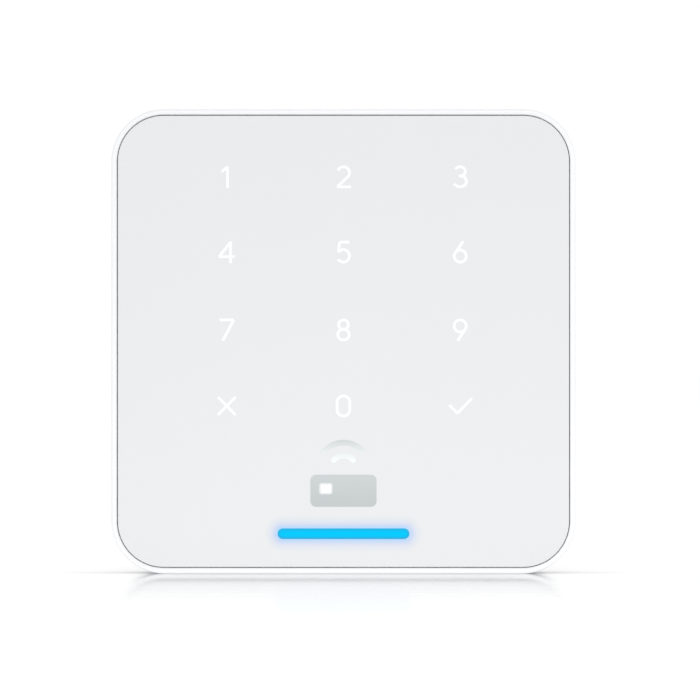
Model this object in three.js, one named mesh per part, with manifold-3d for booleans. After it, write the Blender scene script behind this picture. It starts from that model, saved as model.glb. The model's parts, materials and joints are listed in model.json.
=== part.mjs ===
// Wall keypad and card reader with its wall bracket.
// Millimetres. The wall plane is y = 0 and the reader stands out towards -Y. +Z is up.
// Depths below are distances from the wall, so a depth D lies at y = -D.
import * as THREE from 'three'
import { mergeVertices } from 'three/addons/utils/BufferGeometryUtils.js'
import Module from 'manifold-3d'

const wasm = await Module()
wasm.setup()

// ---------------------------------------------------------------- driving sizes

const BODY = 90
const DEPTH = 20
const CORNER_R = 10.2
const RIM = 1.1
const SEAM = 0.3
const WALL = 2
const CLEAR = 0.3
const SHELL_BEVEL = 0.5
const PANEL_BEVEL = 0.4

// Small gaps and overlaps.
const SNUG = 0.15
const THREAD_GAP = 0.2
const FUSE = 0.5
const CUT = 1

// Depths of the layers, front to back.
const RIM_DROP = 0.6
const PANEL_T = 2
const TAPE_T = 0.3
const SHEET_T = 0.5
const TOUCH_T = 0.6
const ANTENNA_T = 0.2
const FRONT_POCKET = 1.8
const FRONT_WALL_T = 1.4
const BOARD_GAP = 0.9
const BOARD_T = 1.2

// Depths of the layers, back to front.
const SHELL_BACK = 0.4
const BRACKET_T = 3.3
const COVER_BACK = 5.5
const COVER_T = 1.8
const SEAL_T = 0.8

// How far each layer stays inside the one round it.
const COVER_FIT = 0.2
const SEAL_W = 1.1
const RIB_T = 1.3
const BOARD_INSET = 1.1
const POCKET_OUT = 0.6
const TOUCH_INSET = 0.7
const BRACKET_INSET = 5
const BRACKET_RISE = 9.5

// Keyholes and the pegs that hang in them.
const PEG_X = 28
const PEG_Z = 26
const PEG_NECK_R = 1.5
const PEG_HEAD_R = 2.8
const PEG_HEAD_T = 1
const PEG_COLLAR_R = 3.4
const LIFT = 5
const LIP_T = 1.5

// Light bar in the face.
const BAR_W = 25.3
const BAR_H = 1.9
const BAR_Z = -37.2
const BAR_GAP = 0.15
const BAR_FLANGE_X = 1.4
const BAR_FLANGE_Z = 0.6
const BAR_ROOM = 2.5

// Network jack and the bay under it.
const JACK_W = 16
const JACK_Z0 = 2
const JACK_Z1 = 20
const JACK_GAP_FRONT = 0.2
const JACK_H = 11
const SOCKET_W = 11.8
const SOCKET_H = 6.5
const SOCKET_LONG = 12
const BAY_X = 11
const BAY_Z0 = -26
const BAY_Z1 = 21.5
const BAY_WALL = 1.5
const BAY_FLOOR_T = 1.2

// Screws.
const COVER_SCREW_R = 1
const COVER_SCREW_INSET = 8.1
const BOARD_SCREW_R = 0.9
const BOARD_SCREW_X = 36
const BOARD_SCREW_Z = 14
const LOCK_D = 3.1
const LOCK_HEAD_R = 2
const LOCK_SHAFT_R = 1.25

// ---------------------------------------------------------------- derived depths

const HALF = BODY / 2
const SHELL_FRONT = DEPTH - RIM_DROP
const PANEL_BACK = DEPTH - PANEL_T
const RECESS_BACK = PANEL_BACK - TAPE_T
const SHEET_BACK = PANEL_BACK - SHEET_T
const TOUCH_BACK = SHEET_BACK - TOUCH_T
const ANTENNA_BACK = TOUCH_BACK - ANTENNA_T
const FRONT_WALL = PANEL_BACK - FRONT_POCKET
const FRONT_WALL_BACK = FRONT_WALL - FRONT_WALL_T
const BOARD_FRONT = FRONT_WALL_BACK - BOARD_GAP
const BOARD_BACK = BOARD_FRONT - BOARD_T
const COVER_FRONT = COVER_BACK + COVER_T
const RIB_END = COVER_FRONT + SEAL_T
const HEAD_BACK = 0.5
const HEAD_FRONT = HEAD_BACK + PEG_HEAD_T
const LIP_BACK = BRACKET_T - LIP_T
const JACK_FRONT = FRONT_WALL_BACK - JACK_GAP_FRONT
const JACK_BACK = JACK_FRONT - JACK_H
const BAY_FLOOR = BOARD_BACK - SHEET_T - BAY_FLOOR_T

// Half widths of the nested squares.
const RECESS_HALF = HALF - RIM
const PANEL_HALF = RECESS_HALF - SEAM
const INNER_HALF = HALF - WALL
const COVER_HALF = INNER_HALF - COVER_FIT
const RIB_OUT = INNER_HALF - SEAL_W
const RIB_IN = RIB_OUT - RIB_T
const SCREW_AT = HALF - COVER_SCREW_INSET
const BOARD_HALF = RIB_IN - BOARD_INSET
const FRONT_POCKET_HALF = RIB_IN + POCKET_OUT
const TOUCH_HALF = FRONT_POCKET_HALF - TOUCH_INSET
const TOUCH_LOW = BAR_Z + BAR_ROOM

// ---------------------------------------------------------------- helpers

const GRID = 1000
const ROUND = 24
const FINE = 16
const COARSE = 12
const CORNER_STEPS = 5

// A corner radius as a share of half the width, so that a little straight side is left.
const NEARLY_ROUND = 0.98

const group = new THREE.Group()
group.name = 'keypad_access_reader'

function toSolid(geometry) {
  geometry.deleteAttribute('normal')
  geometry.deleteAttribute('uv')
  const place = geometry.attributes.position
  for (let i = 0; i < place.array.length; i += 1) {
    place.array[i] = Math.round(place.array[i] * GRID) / GRID
  }
  const merged = mergeVertices(geometry)
  const mesh = new wasm.Mesh({
    numProp: 3,
    vertProperties: new Float32Array(merged.attributes.position.array),
    triVerts: new Uint32Array(merged.index.array)
  })
  return new wasm.Manifold(mesh)
}

function roundRect(x0, x1, z0, z1, radius) {
  const shape = new THREE.Shape()
  const quarter = Math.PI / 2
  if (radius <= 0) {
    shape.moveTo(x0, z0)
    shape.lineTo(x1, z0)
    shape.lineTo(x1, z1)
    shape.lineTo(x0, z1)
    return shape
  }
  shape.moveTo(x0 + radius, z0)
  shape.lineTo(x1 - radius, z0)
  shape.absarc(x1 - radius, z0 + radius, radius, -quarter, 0)
  shape.lineTo(x1, z1 - radius)
  shape.absarc(x1 - radius, z1 - radius, radius, 0, quarter)
  shape.lineTo(x0 + radius, z1)
  shape.absarc(x0 + radius, z1 - radius, radius, quarter, 2 * quarter)
  shape.lineTo(x0, z0 + radius)
  shape.absarc(x0 + radius, z0 + radius, radius, 2 * quarter, 3 * quarter)
  return shape
}

// A square outline that keeps an even distance inside the body's own rounded outline.
function nested(half) {
  return roundRect(-half, half, -half, half, CORNER_R - (HALF - half))
}

// A flat shape in X and Z, filled from depth d0 to depth d1.
function slab(shape, d0, d1, steps = CORNER_STEPS) {
  const options = { depth: d1 - d0, bevelEnabled: false, curveSegments: steps }
  const geometry = new THREE.ExtrudeGeometry(shape, options)
  geometry.translate(0, 0, d0)
  geometry.rotateX(Math.PI / 2)
  return toSolid(geometry)
}

// The same with its edges rounded at both ends.
function softSlab(shape, d0, d1, bevel, segments = 2, steps = CORNER_STEPS) {
  const options = {
    depth: d1 - d0 - 2 * bevel,
    bevelEnabled: true,
    bevelThickness: bevel,
    bevelSize: bevel,
    bevelOffset: -bevel,
    bevelSegments: segments,
    curveSegments: steps
  }
  const geometry = new THREE.ExtrudeGeometry(shape, options)
  geometry.translate(0, 0, d0 + bevel)
  geometry.rotateX(Math.PI / 2)
  return toSolid(geometry)
}

function block(x0, x1, z0, z1, d0, d1) {
  const geometry = new THREE.BoxGeometry(x1 - x0, d1 - d0, z1 - z0)
  geometry.translate((x0 + x1) / 2, -(d0 + d1) / 2, (z0 + z1) / 2)
  return toSolid(geometry)
}

function centredBlock(x, z, width, height, d0, d1) {
  return block(x - width / 2, x + width / 2, z - height / 2, z + height / 2, d0, d1)
}

// A round piece along the depth.
function disc(x, z, radius, d0, d1, segments = ROUND) {
  const geometry = new THREE.CylinderGeometry(radius, radius, d1 - d0, segments)
  geometry.translate(x, -(d0 + d1) / 2, z)
  return toSolid(geometry)
}

// A round piece standing upright.
function rod(x, depth, radius, z0, z1, segments = ROUND) {
  const geometry = new THREE.CylinderGeometry(radius, radius, z1 - z0, segments)
  geometry.rotateX(Math.PI / 2)
  geometry.translate(x, -depth, (z0 + z1) / 2)
  return toSolid(geometry)
}

function joinAll(solids) {
  return solids.reduce((sum, solid) => sum.add(solid))
}

function cutAll(base, cuts) {
  return cuts.reduce((left, cut) => left.subtract(cut), base)
}

function fourCorners(x, z) {
  return [[-x, z], [x, z], [x, -z], [-x, -z]]
}

function piece(name, solid, colour, roughness, metalness) {
  const data = solid.getMesh()
  const geometry = new THREE.BufferGeometry()
  const points = new THREE.BufferAttribute(new Float32Array(data.vertProperties), 3)
  geometry.setAttribute('position', points)
  geometry.setIndex(new THREE.BufferAttribute(new Uint32Array(data.triVerts), 1))
  geometry.computeVertexNormals()
  const material = new THREE.MeshStandardMaterial({ color: colour, roughness, metalness })
  material.name = name + '_material'
  const mesh = new THREE.Mesh(geometry, material)
  mesh.name = name
  group.add(mesh)
}

// ---------------------------------------------------------------- wall bracket

const BRACKET_HALF = INNER_HALF - BRACKET_INSET
const BRACKET_LOW = -HALF + BRACKET_RISE
const BRACKET_R = 4
const LUG_X = 6
const LUG_TOP = BAY_Z0 + 1
const LUG_FRONT = COVER_BACK - CLEAR
const NECK_ROOM = 0.2
const HEAD_ROOM = 0.4
const FIXING_R = 1.9
const FIXING_X = 30
const FIXING_HALF = 4
const TOP_FIXING_Z = PEG_Z + 4
const LOW_FIXING_X = 15
const LOW_FIXING_Z = BRACKET_LOW + 4.5
const WINDOW_R = 1.5
const WINDOW_X = BAY_X + 1
const WINDOW_TOP = -5
const CORE_IN = 6
const CORE_OUT = 19
const CORE_LOW = 2
const CORE_TOP = 22
const CORE_DEPTH = 1.2
const NUT_W = 4
const NUT_T = 1.6
const NUT_Z = BRACKET_LOW + 2.5

function keyhole(x, z) {
  const slotHalf = PEG_NECK_R + NECK_ROOM
  const entryR = PEG_HEAD_R + HEAD_ROOM
  const pocketHalf = PEG_HEAD_R + CLEAR
  const low = z - PEG_NECK_R - CLEAR
  const top = z + LIFT
  const slotR = slotHalf * NEARLY_ROUND
  const slot = roundRect(x - slotHalf, x + slotHalf, low, top, slotR)
  const pocketLow = z - PEG_HEAD_R - CLEAR
  const pocketR = pocketHalf * NEARLY_ROUND
  const pocket = roundRect(x - pocketHalf, x + pocketHalf, pocketLow, top + entryR, pocketR)
  return joinAll([
    slab(slot, -CUT, BRACKET_T + CUT, 2),
    slab(pocket, -CUT, LIP_BACK, 2),
    disc(x, top, entryR, -CUT, BRACKET_T + CUT, FINE)
  ])
}

function upright(x, z, radius, half) {
  const shape = roundRect(x - radius, x + radius, z - half, z + half, radius * NEARLY_ROUND)
  return slab(shape, -CUT, BRACKET_T + CUT, 2)
}

function wallBracket() {
  const plate = slab(
    roundRect(-BRACKET_HALF, BRACKET_HALF, BRACKET_LOW, BRACKET_HALF, BRACKET_R),
    0, BRACKET_T
  )
  const lug = block(-LUG_X, LUG_X, BRACKET_LOW, LUG_TOP, 0, LUG_FRONT)
  const holes = fourCorners(PEG_X, PEG_Z).map(([x, z]) => keyhole(x, z))
  const window = slab(
    roundRect(-WINDOW_X, WINDOW_X, LUG_TOP, WINDOW_TOP, WINDOW_R),
    -CUT, BRACKET_T + CUT, 2
  )
  const fixings = [
    upright(-FIXING_X, 0, FIXING_R, FIXING_HALF),
    upright(FIXING_X, 0, FIXING_R, FIXING_HALF),
    disc(0, TOP_FIXING_Z, FIXING_R, -CUT, BRACKET_T + CUT, FINE),
    disc(-LOW_FIXING_X, LOW_FIXING_Z, FIXING_R, -CUT, BRACKET_T + CUT, FINE),
    disc(LOW_FIXING_X, LOW_FIXING_Z, FIXING_R, -CUT, BRACKET_T + CUT, FINE)
  ]
  const cores = [
    block(-CORE_OUT, -CORE_IN, CORE_LOW, CORE_TOP, -CUT, CORE_DEPTH),
    block(CORE_IN, CORE_OUT, CORE_LOW, CORE_TOP, -CUT, CORE_DEPTH)
  ]
  const screwWay = rod(0, LOCK_D, LOCK_SHAFT_R + SNUG, BRACKET_LOW - CUT, LUG_TOP + CUT, FINE)
  const nutHalf = NUT_W / 2 + SNUG
  const nutSlot = block(
    -nutHalf, nutHalf, NUT_Z - SNUG, NUT_Z + NUT_T + SNUG,
    LOCK_D - nutHalf, LUG_FRONT + CUT
  )
  return cutAll(plate.add(lug), [
    ...holes, window, ...fixings, ...cores, screwWay, nutSlot
  ])
}

piece('wall_bracket', wallBracket(), 0xdfe1e3, 0.6, 0)

const NUT_MIDDLE = NUT_Z + NUT_T / 2
const NUT_BORE_R = LOCK_SHAFT_R + 0.1

const nutBlock = centredBlock(0, NUT_MIDDLE, NUT_W, NUT_T, LOCK_D - NUT_W / 2, LOCK_D + NUT_W / 2)
const nutHole = rod(0, LOCK_D, NUT_BORE_R, NUT_Z - CUT, NUT_Z + NUT_T + CUT, FINE)
piece('lock_nut', nutBlock.subtract(nutHole), 0xc9b26a, 0.35, 1)

// ---------------------------------------------------------------- housing

const SCREW_BOSS_R = 2.5
const POST_R = 2.4
const SOCKET_X = -20
const SOCKET_Z = 24
const LINK_WINDOW_W = 13
const LINK_WINDOW_H = 5.4
const GUIDE_SLOT_X = 0.6
const GUIDE_SLOT_Z = 0.35
const HEAD_SEAT_GAP = 0.25
const LOCK_BOSS_X = 5
const LOCK_BOSS_TOP = -HALF + 4
const LOCK_SEAT = -HALF + 1.8
const COVER_HOLE_END = FRONT_WALL_BACK - 1
const BOARD_HOLE_END = FRONT_WALL - 0.5

function housing() {
  const outside = softSlab(nested(HALF), SHELL_BACK, SHELL_FRONT, SHELL_BEVEL, 3)
  const recess = slab(nested(RECESS_HALF), RECESS_BACK, SHELL_FRONT + CUT)
  const pocket = slab(nested(FRONT_POCKET_HALF), FRONT_WALL, RECESS_BACK + CUT)
  const rear = slab(nested(INNER_HALF), SHELL_BACK - CUT, RIB_END)
  const cavity = slab(nested(RIB_IN), SHELL_BACK, FRONT_WALL_BACK)
  const channelOut = slab(nested(INNER_HALF), SHELL_BACK, FRONT_WALL_BACK)
  const channel = channelOut.subtract(slab(nested(RIB_OUT), SHELL_BACK - CUT, FRONT_WALL_BACK + CUT))
  const shell = cutAll(outside, [recess, pocket, rear, cavity, channel])
  const bosses = fourCorners(SCREW_AT, SCREW_AT).map(([x, z]) =>
    disc(x, z, SCREW_BOSS_R, COVER_FRONT, FRONT_WALL_BACK + FUSE, FINE))
  const posts = fourCorners(BOARD_SCREW_X, BOARD_SCREW_Z).map(([x, z]) =>
    disc(x, z, POST_R, BOARD_FRONT, FRONT_WALL_BACK + FUSE, FINE))
  const lockBoss = block(
    -LOCK_BOSS_X, LOCK_BOSS_X, -INNER_HALF - FUSE, LOCK_BOSS_TOP,
    SHELL_BACK, LUG_FRONT
  )
  const coverHoles = fourCorners(SCREW_AT, SCREW_AT).map(([x, z]) =>
    disc(x, z, COVER_SCREW_R + THREAD_GAP, COVER_FRONT - CUT, COVER_HOLE_END, COARSE))
  const boardHoles = fourCorners(BOARD_SCREW_X, BOARD_SCREW_Z).map(([x, z]) =>
    disc(x, z, BOARD_SCREW_R + THREAD_GAP, BOARD_FRONT - CUT, BOARD_HOLE_END, COARSE))
  const guideSlot = centredBlock(
    0, BAR_Z, BAR_W + 2 * GUIDE_SLOT_X, BAR_H + 2 * GUIDE_SLOT_Z,
    FRONT_WALL_BACK - CUT, FRONT_WALL + CUT
  )
  const linkWindow = centredBlock(
    SOCKET_X, SOCKET_Z, LINK_WINDOW_W, LINK_WINDOW_H,
    FRONT_WALL_BACK - CUT, FRONT_WALL + CUT
  )
  const lockSeat = rod(0, LOCK_D, LOCK_HEAD_R + HEAD_SEAT_GAP, -HALF - CUT, LOCK_SEAT)
  const lockHoleR = LOCK_SHAFT_R + THREAD_GAP
  const lockHole = rod(0, LOCK_D, lockHoleR, LOCK_SEAT - CUT, LOCK_BOSS_TOP + CUT, FINE)
  return cutAll(joinAll([shell, ...bosses, ...posts, lockBoss]), [
    ...coverHoles, ...boardHoles, guideSlot, linkWindow, lockSeat, lockHole
  ])
}

piece('housing', housing(), 0xf6f7f8, 0.42, 0)

// ---------------------------------------------------------------- face

const STATUS_LED_T = 1
const TAPE_GAP = 0.6

function frontPanel() {
  const plate = softSlab(nested(PANEL_HALF), PANEL_BACK, DEPTH, PANEL_BEVEL, 2)
  const slotX = BAR_W / 2 + BAR_GAP
  const slotZ = BAR_H / 2 + BAR_GAP
  const slot = roundRect(-slotX, slotX, BAR_Z - slotZ, BAR_Z + slotZ, slotZ * NEARLY_ROUND)
  return plate.subtract(slab(slot, PANEL_BACK - CUT, DEPTH + CUT, 3))
}

function lightBar() {
  const halfX = BAR_W / 2
  const halfZ = BAR_H / 2
  const outline = roundRect(-halfX, halfX, BAR_Z - halfZ, BAR_Z + halfZ, halfZ * NEARLY_ROUND)
  const guide = slab(outline, BOARD_FRONT + STATUS_LED_T + 0.4, DEPTH, 3)
  const flange = centredBlock(
    0, BAR_Z, BAR_W + 2 * BAR_FLANGE_X, BAR_H + 2 * BAR_FLANGE_Z,
    FRONT_WALL + CLEAR, PANEL_BACK
  )
  return guide.add(flange)
}

const tapeOut = slab(nested(RECESS_HALF - TAPE_GAP), RECESS_BACK, PANEL_BACK)
const tapeIn = slab(nested(FRONT_POCKET_HALF + CLEAR), RECESS_BACK - CUT, PANEL_BACK + CUT)

piece('front_panel', frontPanel(), 0xe9ebee, 0.3, 0)
piece('light_bar', lightBar(), 0x1fc8ff, 0.25, 0)
piece('panel_tape', tapeOut.subtract(tapeIn), 0x2a2c2f, 0.8, 0)

// ---------------------------------------------------------------- behind the face

const SHEET_LOW = TOUCH_LOW + 1.8
const SHEET_R = 5
const LED_STEP = 23.6
const LED_W = 3
const LED_H = 1.1
const LED_RISE = 0.95
const LED_GAP = 0.05
const TRACK_W = 1
const TRACK_PITCH = 2
const TRACK_SIDE = 4.5
const TRACK_LOW = 5
const TRACK_TOP = 3.5
const FERRITE_T = 0.4
const FERRITE_R = 3
const FERRITE_SIDE = 3
const FERRITE_LOW = 3.5
const FERRITE_TOP = 2
const LINK_W = 10
const LINK_H = 2.6

function faceSheet(low, d0, d1) {
  return slab(roundRect(-TOUCH_HALF, TOUCH_HALF, low, TOUCH_HALF, SHEET_R), d0, d1, 2)
}

piece('light_sheet', faceSheet(SHEET_LOW, SHEET_BACK, PANEL_BACK), 0xfafcff, 0.5, 0)
piece('touch_board', faceSheet(TOUCH_LOW, TOUCH_BACK, SHEET_BACK), 0x1f6b3c, 0.45, 0)

for (const index of [0, 1, 2]) {
  const x = (index - 1) * LED_STEP
  const led = centredBlock(x, TOUCH_LOW + LED_RISE, LED_W, LED_H, SHEET_BACK, PANEL_BACK - LED_GAP)
  piece('backlight_led_' + (index + 1), led, 0xfff6d8, 0.4, 0)
}

// Square spiral of three turns, drawn as overlapping straight runs.
function antennaLoop() {
  const left = -TOUCH_HALF + TRACK_SIDE
  const right = TOUCH_HALF - TRACK_SIDE
  const low = TOUCH_LOW + TRACK_LOW
  const top = TOUCH_HALF - TRACK_TOP
  const corners = []
  for (const turn of [0, 1, 2]) {
    const step = turn * TRACK_PITCH
    const start = Math.max(0, step - TRACK_PITCH)
    corners.push([left + start, low + step])
    corners.push([right - step, low + step])
    corners.push([right - step, top - step])
    corners.push([left + step, top - step])
  }
  const runs = []
  for (let i = 1; i < corners.length; i += 1) {
    const [xa, za] = corners[i - 1]
    const [xb, zb] = corners[i]
    const half = TRACK_W / 2
    runs.push(block(
      Math.min(xa, xb) - half, Math.max(xa, xb) + half,
      Math.min(za, zb) - half, Math.max(za, zb) + half,
      ANTENNA_BACK, TOUCH_BACK
    ))
  }
  return joinAll(runs)
}

function ferriteSheet() {
  const half = TOUCH_HALF - FERRITE_SIDE
  const outline = roundRect(-half, half, TOUCH_LOW + FERRITE_LOW, TOUCH_HALF - FERRITE_TOP, FERRITE_R)
  const plate = slab(outline, FRONT_WALL, FRONT_WALL + FERRITE_T, 2)
  const window = centredBlock(
    SOCKET_X, SOCKET_Z, LINK_WINDOW_W, LINK_WINDOW_H,
    FRONT_WALL - CUT, FRONT_WALL + CUT
  )
  return plate.subtract(window)
}

piece('antenna_loop', antennaLoop(), 0xc77b3b, 0.35, 1)
piece('ferrite_sheet', ferriteSheet(), 0x3b3d40, 0.75, 0)

// ---------------------------------------------------------------- main board

const JACK_X = JACK_W / 2
const TAB = 2
const BOARD_R = 1
const NOTCH_GAP = 0.5

function mainBoard() {
  const half = BOARD_HALF
  const plate = slab(roundRect(-half, half, -half, half, BOARD_R), BOARD_BACK, BOARD_FRONT, 1)
  const notchAt = SCREW_AT - SCREW_BOSS_R - NOTCH_GAP
  const far = half + CUT
  const notches = fourCorners(1, 1).map(([sx, sz]) => block(
    Math.min(sx * notchAt, sx * far), Math.max(sx * notchAt, sx * far),
    Math.min(sz * notchAt, sz * far), Math.max(sz * notchAt, sz * far),
    BOARD_BACK - CUT, BOARD_FRONT + CUT
  ))
  const holes = fourCorners(BOARD_SCREW_X, BOARD_SCREW_Z).map(([x, z]) =>
    disc(x, z, BOARD_SCREW_R + THREAD_GAP, BOARD_BACK - CUT, BOARD_FRONT + CUT, COARSE))
  const jackHole = block(
    -JACK_X - CLEAR, JACK_X + CLEAR, JACK_Z0 - CLEAR, JACK_Z1 + CLEAR,
    BOARD_BACK - CUT, BOARD_FRONT + CUT
  )
  return cutAll(plate, [...notches, ...holes, jackHole])
}

piece('main_board', mainBoard(), 0x17613a, 0.45, 0)

const SCREW_HEAD_T = 1.1
const DRIVE_W = 0.5
const DRIVE_LONG = 2.6
const DRIVE_LEFT = 0.7

fourCorners(BOARD_SCREW_X, BOARD_SCREW_Z).forEach(([x, z], index) => {
  const head = disc(x, z, BOARD_SCREW_R * 2, BOARD_BACK - SCREW_HEAD_T, BOARD_BACK, FINE)
  const shaft = disc(x, z, BOARD_SCREW_R, BOARD_BACK - FUSE, FRONT_WALL_BACK + FUSE, COARSE)
  const slot = centredBlock(
    x, z, DRIVE_W, DRIVE_LONG,
    BOARD_BACK - SCREW_HEAD_T - CUT, BOARD_BACK - DRIVE_LEFT
  )
  piece('board_screw_' + (index + 1), head.add(shaft).subtract(slot), 0xb9bcc0, 0.3, 1)
})

// Components on the back of the board: middle, width, height and how far each stands out.
const SHIELD = { x: 24, z: 26, w: 19, h: 16, stand: 2.2, round: 0.8, soft: 0.25 }
const SHIELD_DIMPLE = { radius: 0.7, rise: 5, pitch: 4, count: 4, deep: 0.3 }
const RADIO = { x: -25.5, z: 26.5, w: 19, h: 13, stand: 0.8 }
const RADIO_CAN = { x: -23.5, z: 26.5, w: 13, h: 11, stand: 2.4 }
const TRANSFORMER = { x: 26, z: 7, w: 13, h: 12, stand: 1 }
const TRANSFORMER_CORE = { w: 10, stand: 5 }
const TRANSFORMER_COIL = { w: 12.4, h: 7, stand: 4.2 }
const CAPACITOR = { x: 20, z: -24, w: 6.6, h: 6.6, stand: 0.8, round: 0.6 }
const CAPACITOR_CAN = { radius: 3.1, stand: 4.9 }
const INDUCTOR = { x: 32.5, z: -27.5, w: 7, h: 7, stand: 3, round: 1, soft: 0.4 }
const CHIP = { x: 0, z: 31, w: 8, h: 8, stand: 1, round: 0.3, soft: 0.15 }
const CHIP_DIMPLE = { radius: 0.5, inset: 1, deep: 0.1 }

function outlineOf(part) {
  const halfX = part.w / 2
  const halfZ = part.h / 2
  return roundRect(part.x - halfX, part.x + halfX, part.z - halfZ, part.z + halfZ, part.round)
}

function onBoard(part, foot = 0) {
  return centredBlock(part.x, part.z, part.w, part.h, BOARD_BACK - part.stand, BOARD_BACK - foot)
}

function softOnBoard(part) {
  return softSlab(outlineOf(part), BOARD_BACK - part.stand, BOARD_BACK, part.soft, 1, 1)
}

function processorShield() {
  const { radius, rise, pitch, count, deep } = SHIELD_DIMPLE
  const dimples = []
  for (let i = 0; i < count; i += 1) {
    const x = SHIELD.x + (i - (count - 1) / 2) * pitch
    dimples.push(disc(x, SHIELD.z + rise, radius, 0, BOARD_BACK - SHIELD.stand + deep, COARSE))
  }
  return cutAll(softOnBoard(SHIELD), dimples)
}

function radioModule() {
  return onBoard(RADIO).add(onBoard(RADIO_CAN, RADIO.stand))
}

function transformer() {
  return joinAll([
    onBoard(TRANSFORMER),
    onBoard({ ...TRANSFORMER, ...TRANSFORMER_CORE }, TRANSFORMER.stand),
    onBoard({ ...TRANSFORMER, ...TRANSFORMER_COIL }, TRANSFORMER.stand)
  ])
}

function capacitor() {
  const { x, z, stand } = CAPACITOR
  const base = slab(outlineOf(CAPACITOR), BOARD_BACK - stand, BOARD_BACK, 1)
  return base.add(disc(x, z, CAPACITOR_CAN.radius, BOARD_BACK - CAPACITOR_CAN.stand, BOARD_BACK - stand))
}

function networkChip() {
  const { radius, inset, deep } = CHIP_DIMPLE
  const x = CHIP.x - CHIP.w / 2 + inset
  const z = CHIP.z + CHIP.h / 2 - inset
  const dimple = disc(x, z, radius, BOARD_BACK - 2 * CHIP.stand, BOARD_BACK - CHIP.stand + deep, COARSE)
  return softOnBoard(CHIP).subtract(dimple)
}

piece('processor_shield', processorShield(), 0xc8cbcf, 0.3, 1)
piece('radio_module', radioModule(), 0xbfc3c7, 0.32, 1)
piece('transformer', transformer(), 0x2b2d30, 0.55, 0)
piece('capacitor', capacitor(), 0xd0d3d6, 0.28, 1)
piece('inductor', softOnBoard(INDUCTOR), 0x45484c, 0.6, 0)
piece('network_chip', networkChip(), 0x1d1f22, 0.5, 0)

// Components on the front of the board.
const STATUS_LED_W = 2
const STATUS_LED_H = 1.2
const SOCKET_SIDE = 1
const SOCKET_EDGE = 0.9
const SOCKET_T = 1.6
const SOCKET_FLOOR = 0.5

for (const index of [0, 1, 2, 3, 4]) {
  const x = (index - 2) * BAR_W / 5
  const led = centredBlock(x, BAR_Z, STATUS_LED_W, STATUS_LED_H, BOARD_FRONT, BOARD_FRONT + STATUS_LED_T)
  piece('status_led_' + (index + 1), led, 0xbfeaff, 0.35, 0)
}

const socketOut = centredBlock(
  SOCKET_X, SOCKET_Z, LINK_W + 2 * SOCKET_SIDE, LINK_H + 2 * SOCKET_EDGE,
  BOARD_FRONT, BOARD_FRONT + SOCKET_T
)
const socketIn = centredBlock(
  SOCKET_X, SOCKET_Z, LINK_W + 2 * CLEAR, LINK_H + 2 * CLEAR,
  BOARD_FRONT + SOCKET_FLOOR, BOARD_FRONT + SOCKET_T + CUT
)
const linkPlug = centredBlock(
  SOCKET_X, SOCKET_Z, LINK_W, LINK_H,
  BOARD_FRONT + SOCKET_FLOOR + CLEAR, TOUCH_BACK
)
piece('connector_socket', socketOut.subtract(socketIn), 0x26282b, 0.5, 0)
piece('connector_plug', linkPlug, 0xe6dcc0, 0.5, 0)

// ---------------------------------------------------------------- network jack

const SOCKET_BACK = JACK_BACK + 0.8
const CONTACT_D = SOCKET_BACK + 0.4
const CONTACT_BAR = 1.2
const CONTACT_BAR_W = 9
const CONTACT_W = 0.4
const CONTACT_COUNT = 8
const CONTACT_START = JACK_Z0 + 5
const TAB_INSET = 4
const LATCH_X = 3
const LATCH_SHORT = 3
const LATCH_T = 1.3

function networkJack() {
  const body = block(-JACK_X, JACK_X, JACK_Z0, JACK_Z1, JACK_BACK, JACK_FRONT)
  const tabs = [-1, 1].map((side) => block(
    Math.min(side * (JACK_X - FUSE), side * (JACK_X + TAB)),
    Math.max(side * (JACK_X - FUSE), side * (JACK_X + TAB)),
    JACK_Z0 + TAB_INSET, JACK_Z1 - TAB_INSET, BOARD_FRONT, JACK_FRONT
  ))
  const socketX = SOCKET_W / 2
  const socketEnd = JACK_Z0 + SOCKET_LONG
  const socketFront = SOCKET_BACK + SOCKET_H
  const mouth = block(-socketX, socketX, JACK_Z0 - CUT, socketEnd, SOCKET_BACK, socketFront)
  const latch = block(
    -LATCH_X, LATCH_X, JACK_Z0 - CUT, socketEnd - LATCH_SHORT,
    socketFront - FUSE, socketFront + LATCH_T
  )
  const combX = CONTACT_BAR_W / 2 + CLEAR
  const combWay = block(
    -combX, combX, socketEnd - FUSE, socketEnd + CONTACT_BAR + CLEAR,
    CONTACT_D - CLEAR, CONTACT_D + CONTACT_BAR + CLEAR
  )
  return cutAll(joinAll([body, ...tabs]), [mouth, latch, combWay])
}

function jackContacts() {
  const socketEnd = JACK_Z0 + SOCKET_LONG
  const barX = CONTACT_BAR_W / 2
  const barEnd = socketEnd + CONTACT_BAR
  const bar = block(-barX, barX, socketEnd, barEnd, CONTACT_D, CONTACT_D + CONTACT_BAR)
  const fingers = []
  for (let i = 0; i < CONTACT_COUNT; i += 1) {
    const x = i - (CONTACT_COUNT - 1) / 2
    fingers.push(block(
      x - CONTACT_W / 2, x + CONTACT_W / 2, CONTACT_START, socketEnd + FUSE,
      CONTACT_D, CONTACT_D + CONTACT_W
    ))
  }
  return joinAll([bar, ...fingers])
}

piece('network_jack', networkJack(), 0x303236, 0.5, 0)
piece('jack_contacts', jackContacts(), 0xd9b04a, 0.3, 1)

const GASKET_W = 2

const gasketSide = CLEAR + GASKET_W
const gasketOut = block(
  -JACK_X - gasketSide, JACK_X + gasketSide, JACK_Z0 - gasketSide, JACK_Z1 + gasketSide,
  BAY_FLOOR + BAY_FLOOR_T, BOARD_BACK
)
const gasketIn = block(
  -JACK_X - CLEAR, JACK_X + CLEAR, JACK_Z0 - CLEAR, JACK_Z1 + CLEAR,
  BAY_FLOOR, BOARD_BACK + CUT
)
piece('jack_gasket', gasketOut.subtract(gasketIn), 0x4a4d50, 0.85, 0)

// ---------------------------------------------------------------- rear cover

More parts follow.
